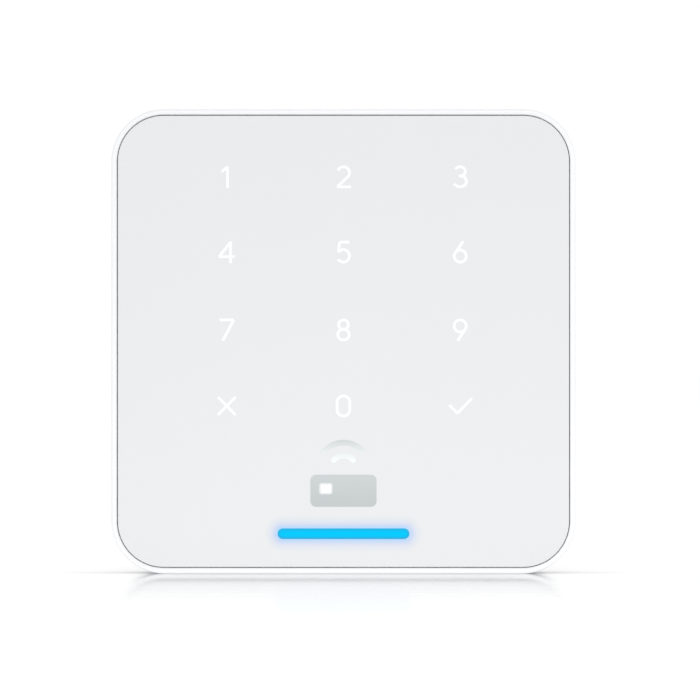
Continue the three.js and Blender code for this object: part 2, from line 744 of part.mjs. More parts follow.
const SPEAKER_X = -26
const SPEAKER_Z = 8
const SPEAKER_R = 10
const TAMPER_X = 22
const TAMPER_Z = -10
const TAMPER_R = 1.2
const RESET_X = -20
const RESET_Z = -12
const RESET_R = 1
const RESET_HOLE_R = 0.8
const TONGUE_END = COVER_FRONT + 1.7
const TONGUE_T = 0.9
const BAY_OUT_R = 2
const BAY_IN_R = 0.5
const SCREW_SINK = 0.8
const SOUND_HOLE_R = 1
const SOUND_RING_R = 4.5
const SOUND_HOLES = 6
const SEAL_FIT = 0.1

function peg(x, z) {
  return joinAll([
    disc(x, z, PEG_HEAD_R, HEAD_BACK, HEAD_FRONT),
    disc(x, z, PEG_NECK_R, HEAD_FRONT - FUSE, COVER_BACK + FUSE, FINE),
    disc(x, z, PEG_COLLAR_R, BRACKET_T + CLEAR, COVER_BACK + FUSE)
  ])
}

function rearCover() {
  const floor = slab(nested(COVER_HALF), COVER_BACK, COVER_FRONT)
  const tongueOut = slab(nested(RIB_IN - CLEAR), COVER_FRONT - FUSE, TONGUE_END)
  const tongueIn = slab(nested(RIB_IN - CLEAR - TONGUE_T), COVER_FRONT, TONGUE_END + CUT)
  const bossRoom = fourCorners(SCREW_AT, SCREW_AT).map(([x, z]) =>
    disc(x, z, SCREW_BOSS_R + CLEAR, COVER_FRONT, TONGUE_END + CUT, FINE))
  const tongue = cutAll(tongueOut.subtract(tongueIn), bossRoom)
  const outX = BAY_X + BAY_WALL
  const bay = slab(
    roundRect(-outX, outX, BAY_Z0 - BAY_WALL, BAY_Z1 + BAY_WALL, BAY_OUT_R),
    COVER_BACK, BAY_FLOOR + BAY_FLOOR_T, 2
  )
  const bayShape = roundRect(-BAY_X, BAY_X, BAY_Z0, BAY_Z1, BAY_IN_R)
  const bayIn = slab(bayShape, COVER_BACK - CUT, BAY_FLOOR, 1)
  const jackWay = block(
    -JACK_X - CLEAR, JACK_X + CLEAR, JACK_Z0 - CLEAR, JACK_Z1 + CLEAR,
    COVER_BACK - CUT, BOARD_BACK
  )
  const screwWays = fourCorners(SCREW_AT, SCREW_AT).flatMap(([x, z]) => [
    disc(x, z, COVER_SCREW_R * 2 + CLEAR, COVER_BACK - CUT, COVER_BACK + SCREW_SINK, FINE),
    disc(x, z, COVER_SCREW_R + THREAD_GAP, COVER_BACK - CUT, COVER_FRONT + CUT, COARSE)
  ])
  const through = (x, z, radius, segments) =>
    disc(x, z, radius, COVER_BACK - CUT, COVER_FRONT + CUT, segments)
  const soundHoles = [through(SPEAKER_X, SPEAKER_Z, SOUND_HOLE_R, COARSE)]
  for (let i = 0; i < SOUND_HOLES; i += 1) {
    const turn = 2 * Math.PI * i / SOUND_HOLES
    const x = SPEAKER_X + SOUND_RING_R * Math.cos(turn)
    const z = SPEAKER_Z + SOUND_RING_R * Math.sin(turn)
    soundHoles.push(through(x, z, SOUND_HOLE_R, COARSE))
  }
  const smallHoles = [
    through(TAMPER_X, TAMPER_Z, TAMPER_R + CLEAR, FINE),
    through(RESET_X, RESET_Z, RESET_HOLE_R, COARSE)
  ]
  const pegs = fourCorners(PEG_X, PEG_Z).map(([x, z]) => peg(x, z))
  const solid = joinAll([floor, tongue, bay, ...pegs])
  return cutAll(solid, [bayIn, jackWay, ...screwWays, ...soundHoles, ...smallHoles])
}

piece('rear_cover', rearCover(), 0xd7d9dc, 0.55, 0)

const sealOut = slab(nested(RIB_OUT - SEAL_FIT), COVER_FRONT, RIB_END)
const sealIn = slab(nested(RIB_IN + SEAL_FIT), COVER_FRONT - CUT, RIB_END + CUT)
piece('housing_seal', sealOut.subtract(sealIn), 0x4d5256, 0.85, 0)

fourCorners(SCREW_AT, SCREW_AT).forEach(([x, z], index) => {
  const seat = COVER_BACK + SCREW_SINK
  const head = disc(x, z, COVER_SCREW_R * 2, seat - SCREW_HEAD_T, seat, FINE)
  const shaft = disc(x, z, COVER_SCREW_R, seat - FUSE, COVER_HOLE_END - FUSE, COARSE)
  const drive = centredBlock(x, z, DRIVE_W, DRIVE_LONG, 0, seat - DRIVE_LEFT)
  const crossDrive = centredBlock(x, z, DRIVE_LONG, DRIVE_W, 0, seat - DRIVE_LEFT)
  piece('cover_screw_' + (index + 1), cutAll(head.add(shaft), [drive, crossDrive]), 0xb9bcc0, 0.3, 1)
})

const LABEL_X = 27
const LABEL_Z = 10.5
const LABEL_W = 20
const LABEL_H = 16
const LABEL_T = 0.15

const label = centredBlock(LABEL_X, LABEL_Z, LABEL_W, LABEL_H, COVER_BACK - LABEL_T, COVER_BACK)
piece('rating_label', label, 0xf2f2ee, 0.6, 0)

// ---------------------------------------------------------------- loudspeaker

const GASKET_T = 0.6
const SPEAKER_BACK = COVER_FRONT + GASKET_T
const BASKET_T = 2.4
const CONE_DEEP = 0.8
const CONE_R = SPEAKER_R * 0.8
const MAGNET_R = SPEAKER_R * 0.6
const CAP_R = SPEAKER_R * 0.3
const CAP_T = 0.6

function speaker() {
  const round = (radius, d0, d1) => disc(SPEAKER_X, SPEAKER_Z, radius, d0, d1)
  const basketEnd = SPEAKER_BACK + BASKET_T
  const coneEnd = SPEAKER_BACK + CONE_DEEP
  const basket = round(SPEAKER_R, SPEAKER_BACK, basketEnd)
  const magnet = round(MAGNET_R, basketEnd - FUSE, BOARD_BACK - CLEAR)
  const cone = round(CONE_R, SPEAKER_BACK - CUT, coneEnd)
  const cap = round(CAP_R, coneEnd - CAP_T + SNUG, coneEnd + SNUG)
  return basket.add(magnet).subtract(cone).add(cap)
}

const speakerRing = disc(SPEAKER_X, SPEAKER_Z, SPEAKER_R, COVER_FRONT, SPEAKER_BACK)
const speakerRoom = disc(SPEAKER_X, SPEAKER_Z, CONE_R, COVER_FRONT - CUT, SPEAKER_BACK + CUT)
piece('speaker', speaker(), 0x3a3d41, 0.5, 0.3)
piece('speaker_gasket', speakerRing.subtract(speakerRoom), 0x232527, 0.9, 0)

// ---------------------------------------------------------------- switches

const TAMPER_TRAVEL = 0.8
const TAMPER_SWITCH_W = 7
const TAMPER_SWITCH_H = 5.4
const TAMPER_SWITCH_T = 2.7
const TAMPER_SWITCH_BACK = BOARD_BACK - TAMPER_SWITCH_T
const TAMPER_FRONT = TAMPER_SWITCH_BACK - TAMPER_TRAVEL - 0.1
const TAMPER_FLANGE_T = 0.8
const TAMPER_SEAL_T = 0.7
const RESET_SWITCH_W = 4.5
const RESET_SWITCH_T = 2
const RESET_SWITCH_BACK = BOARD_BACK - RESET_SWITCH_T
const RESET_OUT = 0.8
const RESET_IN = 0.5
const RESET_WELL = 0.9

const tamperDisc = (radius, d0, d1) => disc(TAMPER_X, TAMPER_Z, radius, d0, d1, FINE)
const resetDisc = (radius, d0, d1) => disc(RESET_X, RESET_Z, radius, d0, d1, FINE)

const tamperStem = tamperDisc(TAMPER_R, BRACKET_T + CLEAR, TAMPER_FRONT)
const tamperFlange = tamperDisc(TAMPER_R * 2, TAMPER_FRONT - TAMPER_FLANGE_T, TAMPER_FRONT)
const tamperSwitch = centredBlock(
  TAMPER_X, TAMPER_Z, TAMPER_SWITCH_W, TAMPER_SWITCH_H,
  TAMPER_SWITCH_BACK, BOARD_BACK
)
const tamperSealOut = tamperDisc(TAMPER_R * 2 + THREAD_GAP, COVER_FRONT, COVER_FRONT + TAMPER_SEAL_T)
const tamperSealIn = tamperDisc(TAMPER_R + CLEAR, COVER_FRONT - CUT, COVER_FRONT + CUT)
piece('tamper_plunger', tamperStem.add(tamperFlange), 0xe8e8e6, 0.45, 0)
piece('tamper_switch', tamperSwitch, 0x222426, 0.5, 0)
piece('tamper_seal', tamperSealOut.subtract(tamperSealIn), 0x55595d, 0.85, 0)

const resetBody = centredBlock(
  RESET_X, RESET_Z, RESET_SWITCH_W, RESET_SWITCH_W,
  RESET_SWITCH_BACK, BOARD_BACK
)
const resetWell = resetDisc(RESET_R + CLEAR, RESET_SWITCH_BACK - CUT, RESET_SWITCH_BACK + RESET_WELL)
const resetButton = resetDisc(RESET_R, RESET_SWITCH_BACK - RESET_OUT, RESET_SWITCH_BACK + RESET_IN)
piece('reset_switch', resetBody.subtract(resetWell), 0x2a2c2f, 0.45, 0.2)
piece('reset_button', resetButton, 0xd8d4c8, 0.5, 0)

// ---------------------------------------------------------------- locking screw

const LOCK_SINK = 0.2
const HEX_R = 0.8
const HEX_DEEP = 1.1
const LOCK_TIP = 0.5

const lockHead = rod(0, LOCK_D, LOCK_HEAD_R, -HALF + LOCK_SINK, LOCK_SEAT)
const lockShaft = rod(0, LOCK_D, LOCK_SHAFT_R, LOCK_SEAT - FUSE, NUT_Z + NUT_T + LOCK_TIP, FINE)
const lockDrive = rod(0, LOCK_D, HEX_R, -HALF - CUT, -HALF + HEX_DEEP, 6)
piece('lock_screw', lockHead.add(lockShaft).subtract(lockDrive), 0xaeb2b6, 0.3, 1)

export default group
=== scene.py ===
"""Looks of a wall keypad and card reader, built round its CAD frame.

Metres. The wall plane is y = 0, the keypad faces -Y and +Z is up.
Local sizes are written in millimetres and scaled by MM. A depth is a distance from the wall.
"""

import json
import math

import bmesh
import bpy
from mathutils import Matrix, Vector


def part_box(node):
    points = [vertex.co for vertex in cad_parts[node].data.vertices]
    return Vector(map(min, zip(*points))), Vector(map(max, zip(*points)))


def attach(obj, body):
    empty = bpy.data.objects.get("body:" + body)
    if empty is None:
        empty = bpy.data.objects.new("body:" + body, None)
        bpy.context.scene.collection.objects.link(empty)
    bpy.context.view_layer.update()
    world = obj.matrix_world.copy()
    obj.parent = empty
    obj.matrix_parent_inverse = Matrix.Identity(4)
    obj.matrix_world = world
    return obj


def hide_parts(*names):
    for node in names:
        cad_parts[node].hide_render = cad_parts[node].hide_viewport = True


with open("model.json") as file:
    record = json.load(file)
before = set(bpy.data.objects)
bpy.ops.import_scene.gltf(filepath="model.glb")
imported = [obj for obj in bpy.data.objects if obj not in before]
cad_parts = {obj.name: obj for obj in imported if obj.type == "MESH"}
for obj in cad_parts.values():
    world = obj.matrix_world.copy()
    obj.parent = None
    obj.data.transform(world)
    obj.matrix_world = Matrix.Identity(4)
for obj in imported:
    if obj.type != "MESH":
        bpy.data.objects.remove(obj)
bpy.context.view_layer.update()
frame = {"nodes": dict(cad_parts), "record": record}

MM = 0.001
NODES = frame["nodes"]
SLOT_OF = {row["node"]: row["material_slot"] for row in frame["record"]["subparts"]}


# ------------------------------------------------------------------ places read from the frame


def node_box(name):
    """x0, x1, z0, z1, rear depth, front depth of a CAD node, in millimetres."""
    low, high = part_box(name)
    return (low.x / MM, high.x / MM, low.z / MM, high.z / MM, -high.y / MM, -low.y / MM)


def middle(box):
    """The x and z of the middle of a node's box."""
    return (box[0] + box[1]) / 2, (box[2] + box[3]) / 2


BODY_X0, BODY_X1, BODY_Z0, _, SHELL_BACK, SHELL_FRONT = node_box("housing")
HALF = (BODY_X1 - BODY_X0) / 2
CORNER_R = 10.2
PANEL = node_box("front_panel")
# The drawn panel goes this far past the CAD's, and SEAM is the gap left round it.
PANEL_SPREAD = 0.05
PANEL_HALF = (PANEL[1] - PANEL[0]) / 2 + PANEL_SPREAD
PANEL_BACK, FACE = PANEL[4], PANEL[5]
SEAM = 0.2
BAR = node_box("light_bar")
BAR_FLANGE_X, BAR_FLANGE_Z = 1.4, 0.6
BAR_X = BAR[1] - BAR_FLANGE_X
BAR_Z = (BAR[2] + BAR[3]) / 2
BAR_HALF = (BAR[3] - BAR[2]) / 2 - BAR_FLANGE_Z
BAR_GAP = 0.08
BRACKET = node_box("wall_bracket")
COVER = node_box("rear_cover")
JACK = node_box("network_jack")


# ------------------------------------------------------------------ camera


def add_camera():
    """Square-on long lens. The face is a little left of and above the middle of the view."""
    lens = 135.0
    sensor = 36.0
    view_width = 135.36
    data = bpy.data.cameras.new("camera")
    data.lens = lens
    data.sensor_width = sensor
    data.clip_start = 0.01
    camera = bpy.data.objects.new("camera", data)
    bpy.context.scene.collection.objects.link(camera)
    distance = view_width * lens / sensor
    view_x, view_z = 1.265, -1.68
    camera.location = (view_x * MM, -(FACE + distance) * MM, view_z * MM)
    camera.rotation_euler = (math.radians(90), 0, 0)
    bpy.context.scene.camera = camera


add_camera()


# ------------------------------------------------------------------ material kit


class Nodes:
    """A short way to write a node tree."""

    def __init__(self, name):
        self.material = bpy.data.materials.new(name)
        self.material.use_nodes = True
        self.tree = self.material.node_tree
        self.shader = self.tree.nodes["Principled BSDF"]
        self.output = self.tree.nodes["Material Output"]
        coords = self.tree.nodes.new("ShaderNodeTexCoord")
        self.place = coords.outputs["Object"]

    def axes(self):
        """The X, Y and Z of the place, in metres."""
        split = self.tree.nodes.new("ShaderNodeSeparateXYZ")
        self.put(split.inputs[0], self.place)
        return split.outputs["X"], split.outputs["Y"], split.outputs["Z"]

    def put(self, socket, value):
        if isinstance(value, bpy.types.NodeSocket):
            self.tree.links.new(value, socket)
        else:
            socket.default_value = value

    def math(self, kind, *values, clamp=False):
        node = self.tree.nodes.new("ShaderNodeMath")
        node.operation = kind
        node.use_clamp = clamp
        for socket, value in zip(node.inputs, values):
            self.put(socket, value)
        return node.outputs[0]

    def noise(self, size_mm, detail=2.0, place=None, roughness=0.5):
        node = self.tree.nodes.new("ShaderNodeTexNoise")
        node.inputs["Scale"].default_value = 1 / (size_mm * MM)
        node.inputs["Detail"].default_value = detail
        node.inputs["Roughness"].default_value = roughness
        self.put(node.inputs["Vector"], place or self.place)
        return node.outputs["Fac"]

    def ramp(self, value, stops, mode="LINEAR"):
        node = self.tree.nodes.new("ShaderNodeValToRGB")
        node.color_ramp.interpolation = mode
        elements = node.color_ramp.elements
        while len(elements) < len(stops):
            elements.new(0.5)
        for element, (at, colour) in zip(elements, stops):
            element.position = at
            element.color = (*colour, 1)
        self.put(node.inputs["Fac"], value)
        return node.outputs["Color"]

    def levels(self, value, stops, mode="LINEAR"):
        """A ramp of plain numbers."""
        return self.ramp(value, [(at, (level, level, level)) for at, level in stops], mode)

    def hypotenuse(self, first, second):
        squares = self.math("ADD", self.math("POWER", first, 2.0), self.math("POWER", second, 2.0))
        return self.math("SQRT", squares)

    def mix(self, factor, first, second):
        node = self.tree.nodes.new("ShaderNodeMix")
        node.data_type = "RGBA"
        self.put(node.inputs["Factor"], factor)
        for name, colour in (("A", first), ("B", second)):
            socket = [s for s in node.inputs if s.name == name and s.type == "RGBA"][0]
            self.put(socket, (*colour, 1) if isinstance(colour, tuple) else colour)
        return [s for s in node.outputs if s.type == "RGBA"][0]

    def spread(self, value, low, high):
        """value, from 0..1, stretched to low..high."""
        node = self.tree.nodes.new("ShaderNodeMapRange")
        self.put(node.inputs["Value"], value)
        node.inputs["To Min"].default_value = low
        node.inputs["To Max"].default_value = high
        return node.outputs["Result"]

    def bump(self, height, depth_mm, strength):
        node = self.tree.nodes.new("ShaderNodeBump")
        node.inputs["Distance"].default_value = depth_mm * MM
        node.inputs["Strength"].default_value = strength
        self.put(node.inputs["Height"], height)
        return node.outputs["Normal"]

    def edges(self, radius_mm, gain):
        """1 on sharp edges, 0 on flat faces."""
        bevel = self.tree.nodes.new("ShaderNodeBevel")
        bevel.samples = 4
        bevel.inputs["Radius"].default_value = radius_mm * MM
        geometry = self.tree.nodes.new("ShaderNodeNewGeometry")
        dot = self.tree.nodes.new("ShaderNodeVectorMath")
        dot.operation = "DOT_PRODUCT"
        self.put(dot.inputs[0], bevel.outputs["Normal"])
        self.put(dot.inputs[1], geometry.outputs["Normal"])
        away = self.math("SUBTRACT", 1.0, dot.outputs["Value"])
        return self.math("MULTIPLY", away, gain, clamp=True)

    def set(self, **values):
        names = {
            "colour": "Base Color",
            "roughness": "Roughness",
            "metal": "Metallic",
            "normal": "Normal",
            "coat": "Coat Weight",
            "glow": "Emission Color",
            "glow_strength": "Emission Strength",
            "specular": "Specular IOR Level",
        }
        for key, value in values.items():
            if isinstance(value, tuple):
                value = (*value, 1)
            self.put(self.shader.inputs[names[key]], value)
        return self.material


def linear(red, green, blue):
    """A screen colour, 0 to 255, as a linear one."""

    def one(value):
        share = value / 255
        return share / 12.92 if share <= 0.04045 else ((share + 0.055) / 1.055) ** 2.4

    return (one(red), one(green), one(blue))


def shade(colour, factor):
    return tuple(min(1.0, part * factor) for part in colour)


def moulded(name, colour, roughness=0.45, grain_mm=0.18, depth_mm=0.006, wear=0.35, cloud=0.02):
    """Injection-moulded plastic: spark grain, faint flow clouding and rubbed edges."""
    n = Nodes(name)
    clouds = n.noise(14, 3)
    tint = n.mix(clouds, shade(colour, 1 - cloud), shade(colour, 1 + cloud))
    rubbed = n.edges(0.25, 2.2)
    scuffs = n.math("MULTIPLY", rubbed, n.noise(1.6, 4))
    tint = n.mix(n.math("MULTIPLY", scuffs, wear), tint, shade(colour, 1.12))
    grain = n.noise(grain_mm, 3, roughness=0.6)
    gloss = n.spread(n.noise(5, 4), roughness - 0.05, roughness + 0.05)
    return n.set(colour=tint, roughness=gloss, normal=n.bump(grain, depth_mm, 0.5))


def metal(name, colour, roughness=0.3, brush=None, wear=0.3):
    """Plated or drawn metal with turning marks, small stains and polished edges."""
    n = Nodes(name)
    place = n.place
    if brush:
        mapping = n.tree.nodes.new("ShaderNodeMapping")
        mapping.inputs["Scale"].default_value = brush
        n.put(mapping.inputs["Vector"], n.place)
        place = mapping.outputs["Vector"]
    lines = n.noise(0.12, 3, place=place)
    stains = n.noise(2.4, 4)
    tint = n.mix(stains, shade(colour, 0.86), shade(colour, 1.06))
    tint = n.mix(n.math("MULTIPLY", n.edges(0.15, 2.0), wear), tint, shade(colour, 1.25))
    gloss = n.spread(stains, roughness - 0.07, roughness + 0.1)
    return n.set(colour=tint, roughness=gloss, metal=1.0, normal=n.bump(lines, 0.004, 0.45))


def rubber(name, colour):
    """Dull rubber or foam with open pores and a little dust."""
    n = Nodes(name)
    dust = n.noise(3.2, 5)
    tint = n.mix(n.levels(dust, [(0.45, 0), (0.75, 0.5)]), colour, shade(colour, 1.6))
    pores = n.noise(0.25, 4)
    return n.set(colour=tint, roughness=n.spread(dust, 0.72, 0.92), normal=n.bump(pores, 0.02, 0.6))


def circuit(name):
    """Solder resist over copper tracks: darker lanes and a fine weave."""
    n = Nodes(name)
    across, _, up = n.axes()
    lane_mm, track_share = 9, 0.03
    lanes = n.tree.nodes.new("ShaderNodeTexBrick")
    lanes.inputs["Scale"].default_value = 1 / (lane_mm * MM)
    lanes.inputs["Mortar Size"].default_value = track_share
    flat = n.tree.nodes.new("ShaderNodeCombineXYZ")
    n.put(flat.inputs[0], across)
    n.put(flat.inputs[1], up)
    n.put(lanes.inputs["Vector"], flat.outputs[0])
    weave = n.noise(0.3, 2)
    base = n.mix(weave, linear(20, 84, 52), linear(27, 100, 62))
    tint = n.mix(lanes.outputs["Fac"], base, linear(16, 66, 41))
    return n.set(
        colour=tint,
        roughness=n.spread(n.noise(2, 3), 0.32, 0.5),
        normal=n.bump(lanes.outputs["Fac"], 0.02, 0.5),
        coat=0.3,
    )


def lens(name, colour, strength):
    """A small lit lens of slightly cloudy plastic."""
    n = Nodes(name)
    cloud = n.noise(0.5, 3)
    tint = n.mix(cloud, shade(colour, 0.85), colour)
    return n.set(
        colour=tint, roughness=n.spread(cloud, 0.18, 0.3), glow=tint, glow_strength=strength,
        normal=n.bump(cloud, 0.004, 0.3),
    )


FACE_COLOUR = linear(220, 221, 222.5)
GLOW_REACH = 2.8


def bar_distance(n, inside=False):
    """Millimetres out from the light bar's edge, or in from it, along the face."""
    across, _, up = n.axes()
    across = n.math("SUBTRACT", n.math("ABSOLUTE", across), (BAR_X - BAR_HALF) * MM)
    across = n.math("MAXIMUM", across, 0.0)
    up = n.math("SUBTRACT", up, BAR_Z * MM)
    away = n.math("DIVIDE", n.hypotenuse(across, up), MM)
    if inside:
        return n.math("SUBTRACT", BAR_HALF, away)
    return n.math("SUBTRACT", away, BAR_HALF)


def face_material():
    """Satin painted face. The light bar's glow round the slot is painted on: for a few millimetres
    round it the base colour turns blue and the face gives off a faint light.
    """
    n = Nodes("face_plastic")
    clouds = n.noise(30, 2)
    tint = n.mix(clouds, shade(FACE_COLOUR, 0.992), shade(FACE_COLOUR, 1.008))
    near = n.math("DIVIDE", bar_distance(n), GLOW_REACH, clamp=True)
    # Painted glow: near the light bar the base colour is tinted blue, as if the bar lit it through
    # the face.
    painted_glow_share = n.levels(near, [(0.0, 1), (0.2, 0.95), (0.75, 0.6), (1.0, 0)])
    painted_glow_colour = n.ramp(
        near,
        [(0.0, linear(150, 190, 221)), (0.1, linear(170, 197, 223)),
         (0.24, linear(186, 197, 219)), (0.42, linear(202, 205, 220)),
         (0.62, linear(208, 214, 220)), (1.0, linear(219, 219, 222))],
    )
    tint = n.mix(painted_glow_share, tint, painted_glow_colour)
    grain = n.noise(0.09, 3, roughness=0.55)
    gloss = n.spread(n.noise(8, 4), 0.36, 0.42)
    # A faint painted glow given off by the face itself near the slot.
    glow = n.ramp(
        near,
        [(0.0, (0.01, 0.06, 0.12)), (0.25, (0.006, 0.03, 0.06)), (0.7, (0.001, 0.004, 0.008)),
         (1.0, (0, 0, 0))],
    )
    return n.set(
        colour=tint, roughness=gloss, normal=n.bump(grain, 0.002, 0.35),
        glow=glow, glow_strength=1.0, specular=0.4,
    )


def bar_material():
    """Clear moulding lit cyan from behind, a little deeper in colour at its edge."""
    n = Nodes("lit_bar")
    depth = n.math("DIVIDE", bar_distance(n, inside=True), BAR_HALF, clamp=True)
    tint = n.ramp(
        depth,
        [(0.0, linear(52, 176, 222)), (0.28, linear(28, 190, 238)), (0.6, linear(9, 203, 255)),
         (1.0, linear(8, 204, 255))],
    )
    soft = n.noise(2.2, 2)
    tint = n.mix(n.math("MULTIPLY", soft, 0.12), tint, linear(20, 190, 244))
    return n.set(
        colour=linear(0, 4, 8), roughness=n.spread(soft, 0.22, 0.3), glow=tint,
        glow_strength=1.0, normal=n.bump(n.noise(0.2, 2), 0.002, 0.2), specular=0.01,
    )


def legend_material():
    """Milky inlay, faintly lit from behind."""
    n = Nodes("lit_legend")
    even = n.noise(1.1, 2)
    tint = n.mix(even, (0.75, 0.755, 0.76), (0.78, 0.785, 0.79))
    return n.set(
        colour=tint, roughness=n.spread(even, 0.35, 0.42), glow=tint, glow_strength=0.13,
        normal=n.bump(even, 0.002, 0.2),
    )


def ink_material(name, low_colour, high_colour, low_z, high_z):
    """Silver ink, shading from one tone to another up its height."""
    n = Nodes(name)
    flakes = n.noise(0.06, 2)
    tint = n.mix(flakes, shade(low_colour, 0.97), shade(low_colour, 1.03))
    rise = n.math("SUBTRACT", n.axes()[2], low_z * MM)
    rise = n.math("DIVIDE", rise, (high_z - low_z) * MM, clamp=True)
    return n.set(
        colour=n.mix(rise, tint, high_colour), roughness=n.spread(flakes, 0.3, 0.42),
        normal=n.bump(flakes, 0.002, 0.3),
    )


MATERIALS = {
    "housing": moulded("housing_plastic", linear(238, 239, 241), 0.4, 0.16, 0.004, 0.25, 0.012),
    "panel": face_material(),
    "light_guide": bar_material(),
    "legend": legend_material(),
    "bracket": moulded("bracket_plastic", linear(214, 216, 219), 0.55, 0.3, 0.012, 0.4, 0.03),
    "cover": moulded("cover_plastic", linear(203, 206, 210), 0.5, 0.24, 0.01, 0.4, 0.03),
    "black_plastic": moulded("black_plastic", linear(34, 36, 39), 0.42, 0.2, 0.01, 0.6, 0.05),
    "component": moulded("component_plastic", linear(40, 42, 46), 0.5, 0.14, 0.01, 0.6, 0.06),
    "cream_plastic": moulded("cream_plastic", linear(226, 217, 190), 0.45),
    "plunger": moulded("plunger_plastic", linear(228, 228, 224), 0.38),
    "sheet": moulded("frosted_film", linear(246, 248, 250), 0.3, 0.1, 0.002, 0.1),
    "ferrite": moulded("ferrite_film", linear(58, 60, 63), 0.7, 0.1, 0.01, 0.2, 0.05),
    "label": moulded("label_paper", linear(240, 240, 235), 0.75, 0.12, 0.012, 0.1, 0.02),
    "tape": rubber("foam_tape", linear(96, 98, 102)),
    "rubber_grey": rubber("grey_rubber", linear(70, 75, 79)),
    "circuit_board": circuit("solder_resist"),
    "led": lens("warm_lens", linear(255, 244, 214), 0.6),
    "status_led": lens("cyan_lens", linear(150, 224, 255), 0.9),
    "copper": metal("copper_track", linear(198, 124, 66), 0.32),
    "steel": metal("zinc_steel", linear(176, 180, 186), 0.28, brush=(1, 1, 0.2)),
    "nut": metal("brass_nut", linear(200, 172, 96), 0.3),
    "can": metal("tinned_can", linear(190, 193, 198), 0.3, brush=(0.15, 1, 1)),
    "aluminium_can": metal("drawn_can", linear(198, 201, 206), 0.24, brush=(1, 0.1, 1)),
    "contacts": metal("gold_contacts", linear(222, 178, 84), 0.22),
}


# ------------------------------------------------------------------ mesh kit


def new_object(name, vertices, faces):
    mesh = bpy.data.meshes.new(name)
    mesh.from_pydata([(x * MM, y * MM, z * MM) for x, y, z in vertices], [], faces)
    mesh.validate()
    thing = bpy.data.objects.new(name, mesh)
    bpy.context.scene.collection.objects.link(thing)
    return thing


def rounded(x0, x1, z0, z1, radius, steps=12):
    """Points round a rectangle with round corners."""
    least = 1e-4
    radius = max(least, min(radius, (x1 - x0) / 2 - least, (z1 - z0) / 2 - least))
    centres = [(x1 - radius, z0 + radius, -90), (x1 - radius, z1 - radius, 0),
               (x0 + radius, z1 - radius, 90), (x0 + radius, z0 + radius, 180)]
    points = []
    for cx, cz, start in centres:
        for i in range(steps + 1):
            turn = math.radians(start + 90 * i / steps)
            points.append((cx + radius * math.cos(turn), cz + radius * math.sin(turn)))
    return points


def loft(name, rings, closed=False):
    """A skin over rings of equally many (x, z) points at given depths."""
    count = len(rings[0][1])
    vertices, faces = [], []
    for depth, points in rings:
        vertices += [(x, -depth, z) for x, z in points]
    spans = len(rings) if closed else len(rings) - 1
    for ring in range(spans):
        low = ring * count
        high = ((ring + 1) % len(rings)) * count
        for i in range(count):
            j = (i + 1) % count
            faces.append((low + i, low + j, high + j, high + i))
    if not closed:
        faces.append(tuple(reversed(range(count))))
        faces.append(tuple(range((len(rings) - 1) * count, len(rings) * count)))
    return new_object(name, vertices, faces)


def edge_steps(size, steps):
    """(inset, rise) pairs round a quarter circle, from the face to the side."""
    pairs = []
    for i in range(steps + 1):
        turn = math.pi / 2 * i / steps
        pairs.append((size * (1 - math.sin(turn)), size * (1 - math.cos(turn))))
    return pairs


def plate(name, x0, x1, z0, z1, radius, rear, front, soft_rear=0.0, soft_front=0.0, steps=12,
          rounds=3):
    """A flat plate with round corners and softened rear and front edges."""

    def ring(depth, inset):
        return (depth, rounded(x0 + inset, x1 - inset, z0 + inset, z1 - inset,
                               max(radius - inset, 0.01), steps))

    rings = []
    if soft_rear:
        rings += [ring(rear + rise, inset) for inset, rise in edge_steps(soft_rear, rounds)]
    else:
        rings.append(ring(rear, 0))
    if soft_front:
        rings += [ring(front - rise, inset)
                  for inset, rise in reversed(edge_steps(soft_front, rounds))]
    else:
        rings.append(ring(front, 0))
    return loft(name, rings)


def centred(name, x, z, width, height, radius, rear, front, **options):
    """A flat plate of a given size about a middle."""
    return plate(name, x - width / 2, x + width / 2, z - height / 2, z + height / 2,
                 radius, rear, front, **options)


def circle(x, z, radius, segments):
    points = []
    for i in range(segments):
        turn = 2 * math.pi * i / segments
        points.append((x + radius * math.cos(turn), z + radius * math.sin(turn)))
    return points


def turned(name, x, z, profile, segments=48):
    """A round piece along the depth. profile is (radius, depth) pairs from rear to front."""
    return loft(name, [(depth, circle(x, z, radius, segments)) for radius, depth in profile])


def upright(name, x, depth, profile, segments=48):
    """A round piece along Z. profile is (radius, z) pairs from bottom to top."""
    vertices, faces = [], []
    for radius, z in profile:
        vertices += [(px, py, z) for px, py in circle(x, -depth, radius, segments)]
    for ring in range(len(profile) - 1):
        low, high = ring * segments, (ring + 1) * segments
        for i in range(segments):
            j = (i + 1) % segments
            faces.append((low + i, low + j, high + j, high + i))
    faces.append(tuple(reversed(range(segments))))
    faces.append(tuple(range((len(profile) - 1) * segments, len(profile) * segments)))
    return new_object(name, vertices, faces)


def apply_modifiers(thing):
    bpy.context.view_layer.update()
    evaluated = thing.evaluated_get(bpy.context.evaluated_depsgraph_get())
    made = bpy.data.meshes.new_from_object(evaluated)
    thing.modifiers.clear()
    old = thing.data
    thing.data = made
    bpy.data.meshes.remove(old)
    made.name = thing.name


def combine(thing, others, kind="DIFFERENCE"):
    """Cuts others out of thing, or joins them to it. The others are used up."""
    for other in others:
        tool = thing.modifiers.new("boolean", "BOOLEAN")
        tool.operation = kind
        tool.solver = "EXACT"
        tool.object = other
    apply_modifiers(thing)
    for other in others:
        data = other.data
        bpy.data.objects.remove(other)
        bpy.data.meshes.remove(data)
    return thing


SAME_PLACE = 2e-7
SHARP_ANGLE = 32


def smooth(thing):
    """Welds the mesh and shades it smooth, with its sharp edges kept."""
    mesh = thing.data
    work = bmesh.new()
    work.from_mesh(mesh)
    bmesh.ops.remove_doubles(work, verts=work.verts, dist=SAME_PLACE)
    bmesh.ops.recalc_face_normals(work, faces=work.faces)
    work.to_mesh(mesh)
    work.free()
    for face in mesh.polygons:
        face.use_smooth = True
    mesh.set_sharp_from_angle(angle=math.radians(SHARP_ANGLE))
    even = thing.modifiers.new("even_normals", "WEIGHTED_NORMAL")
    even.keep_sharp = True
    return thing


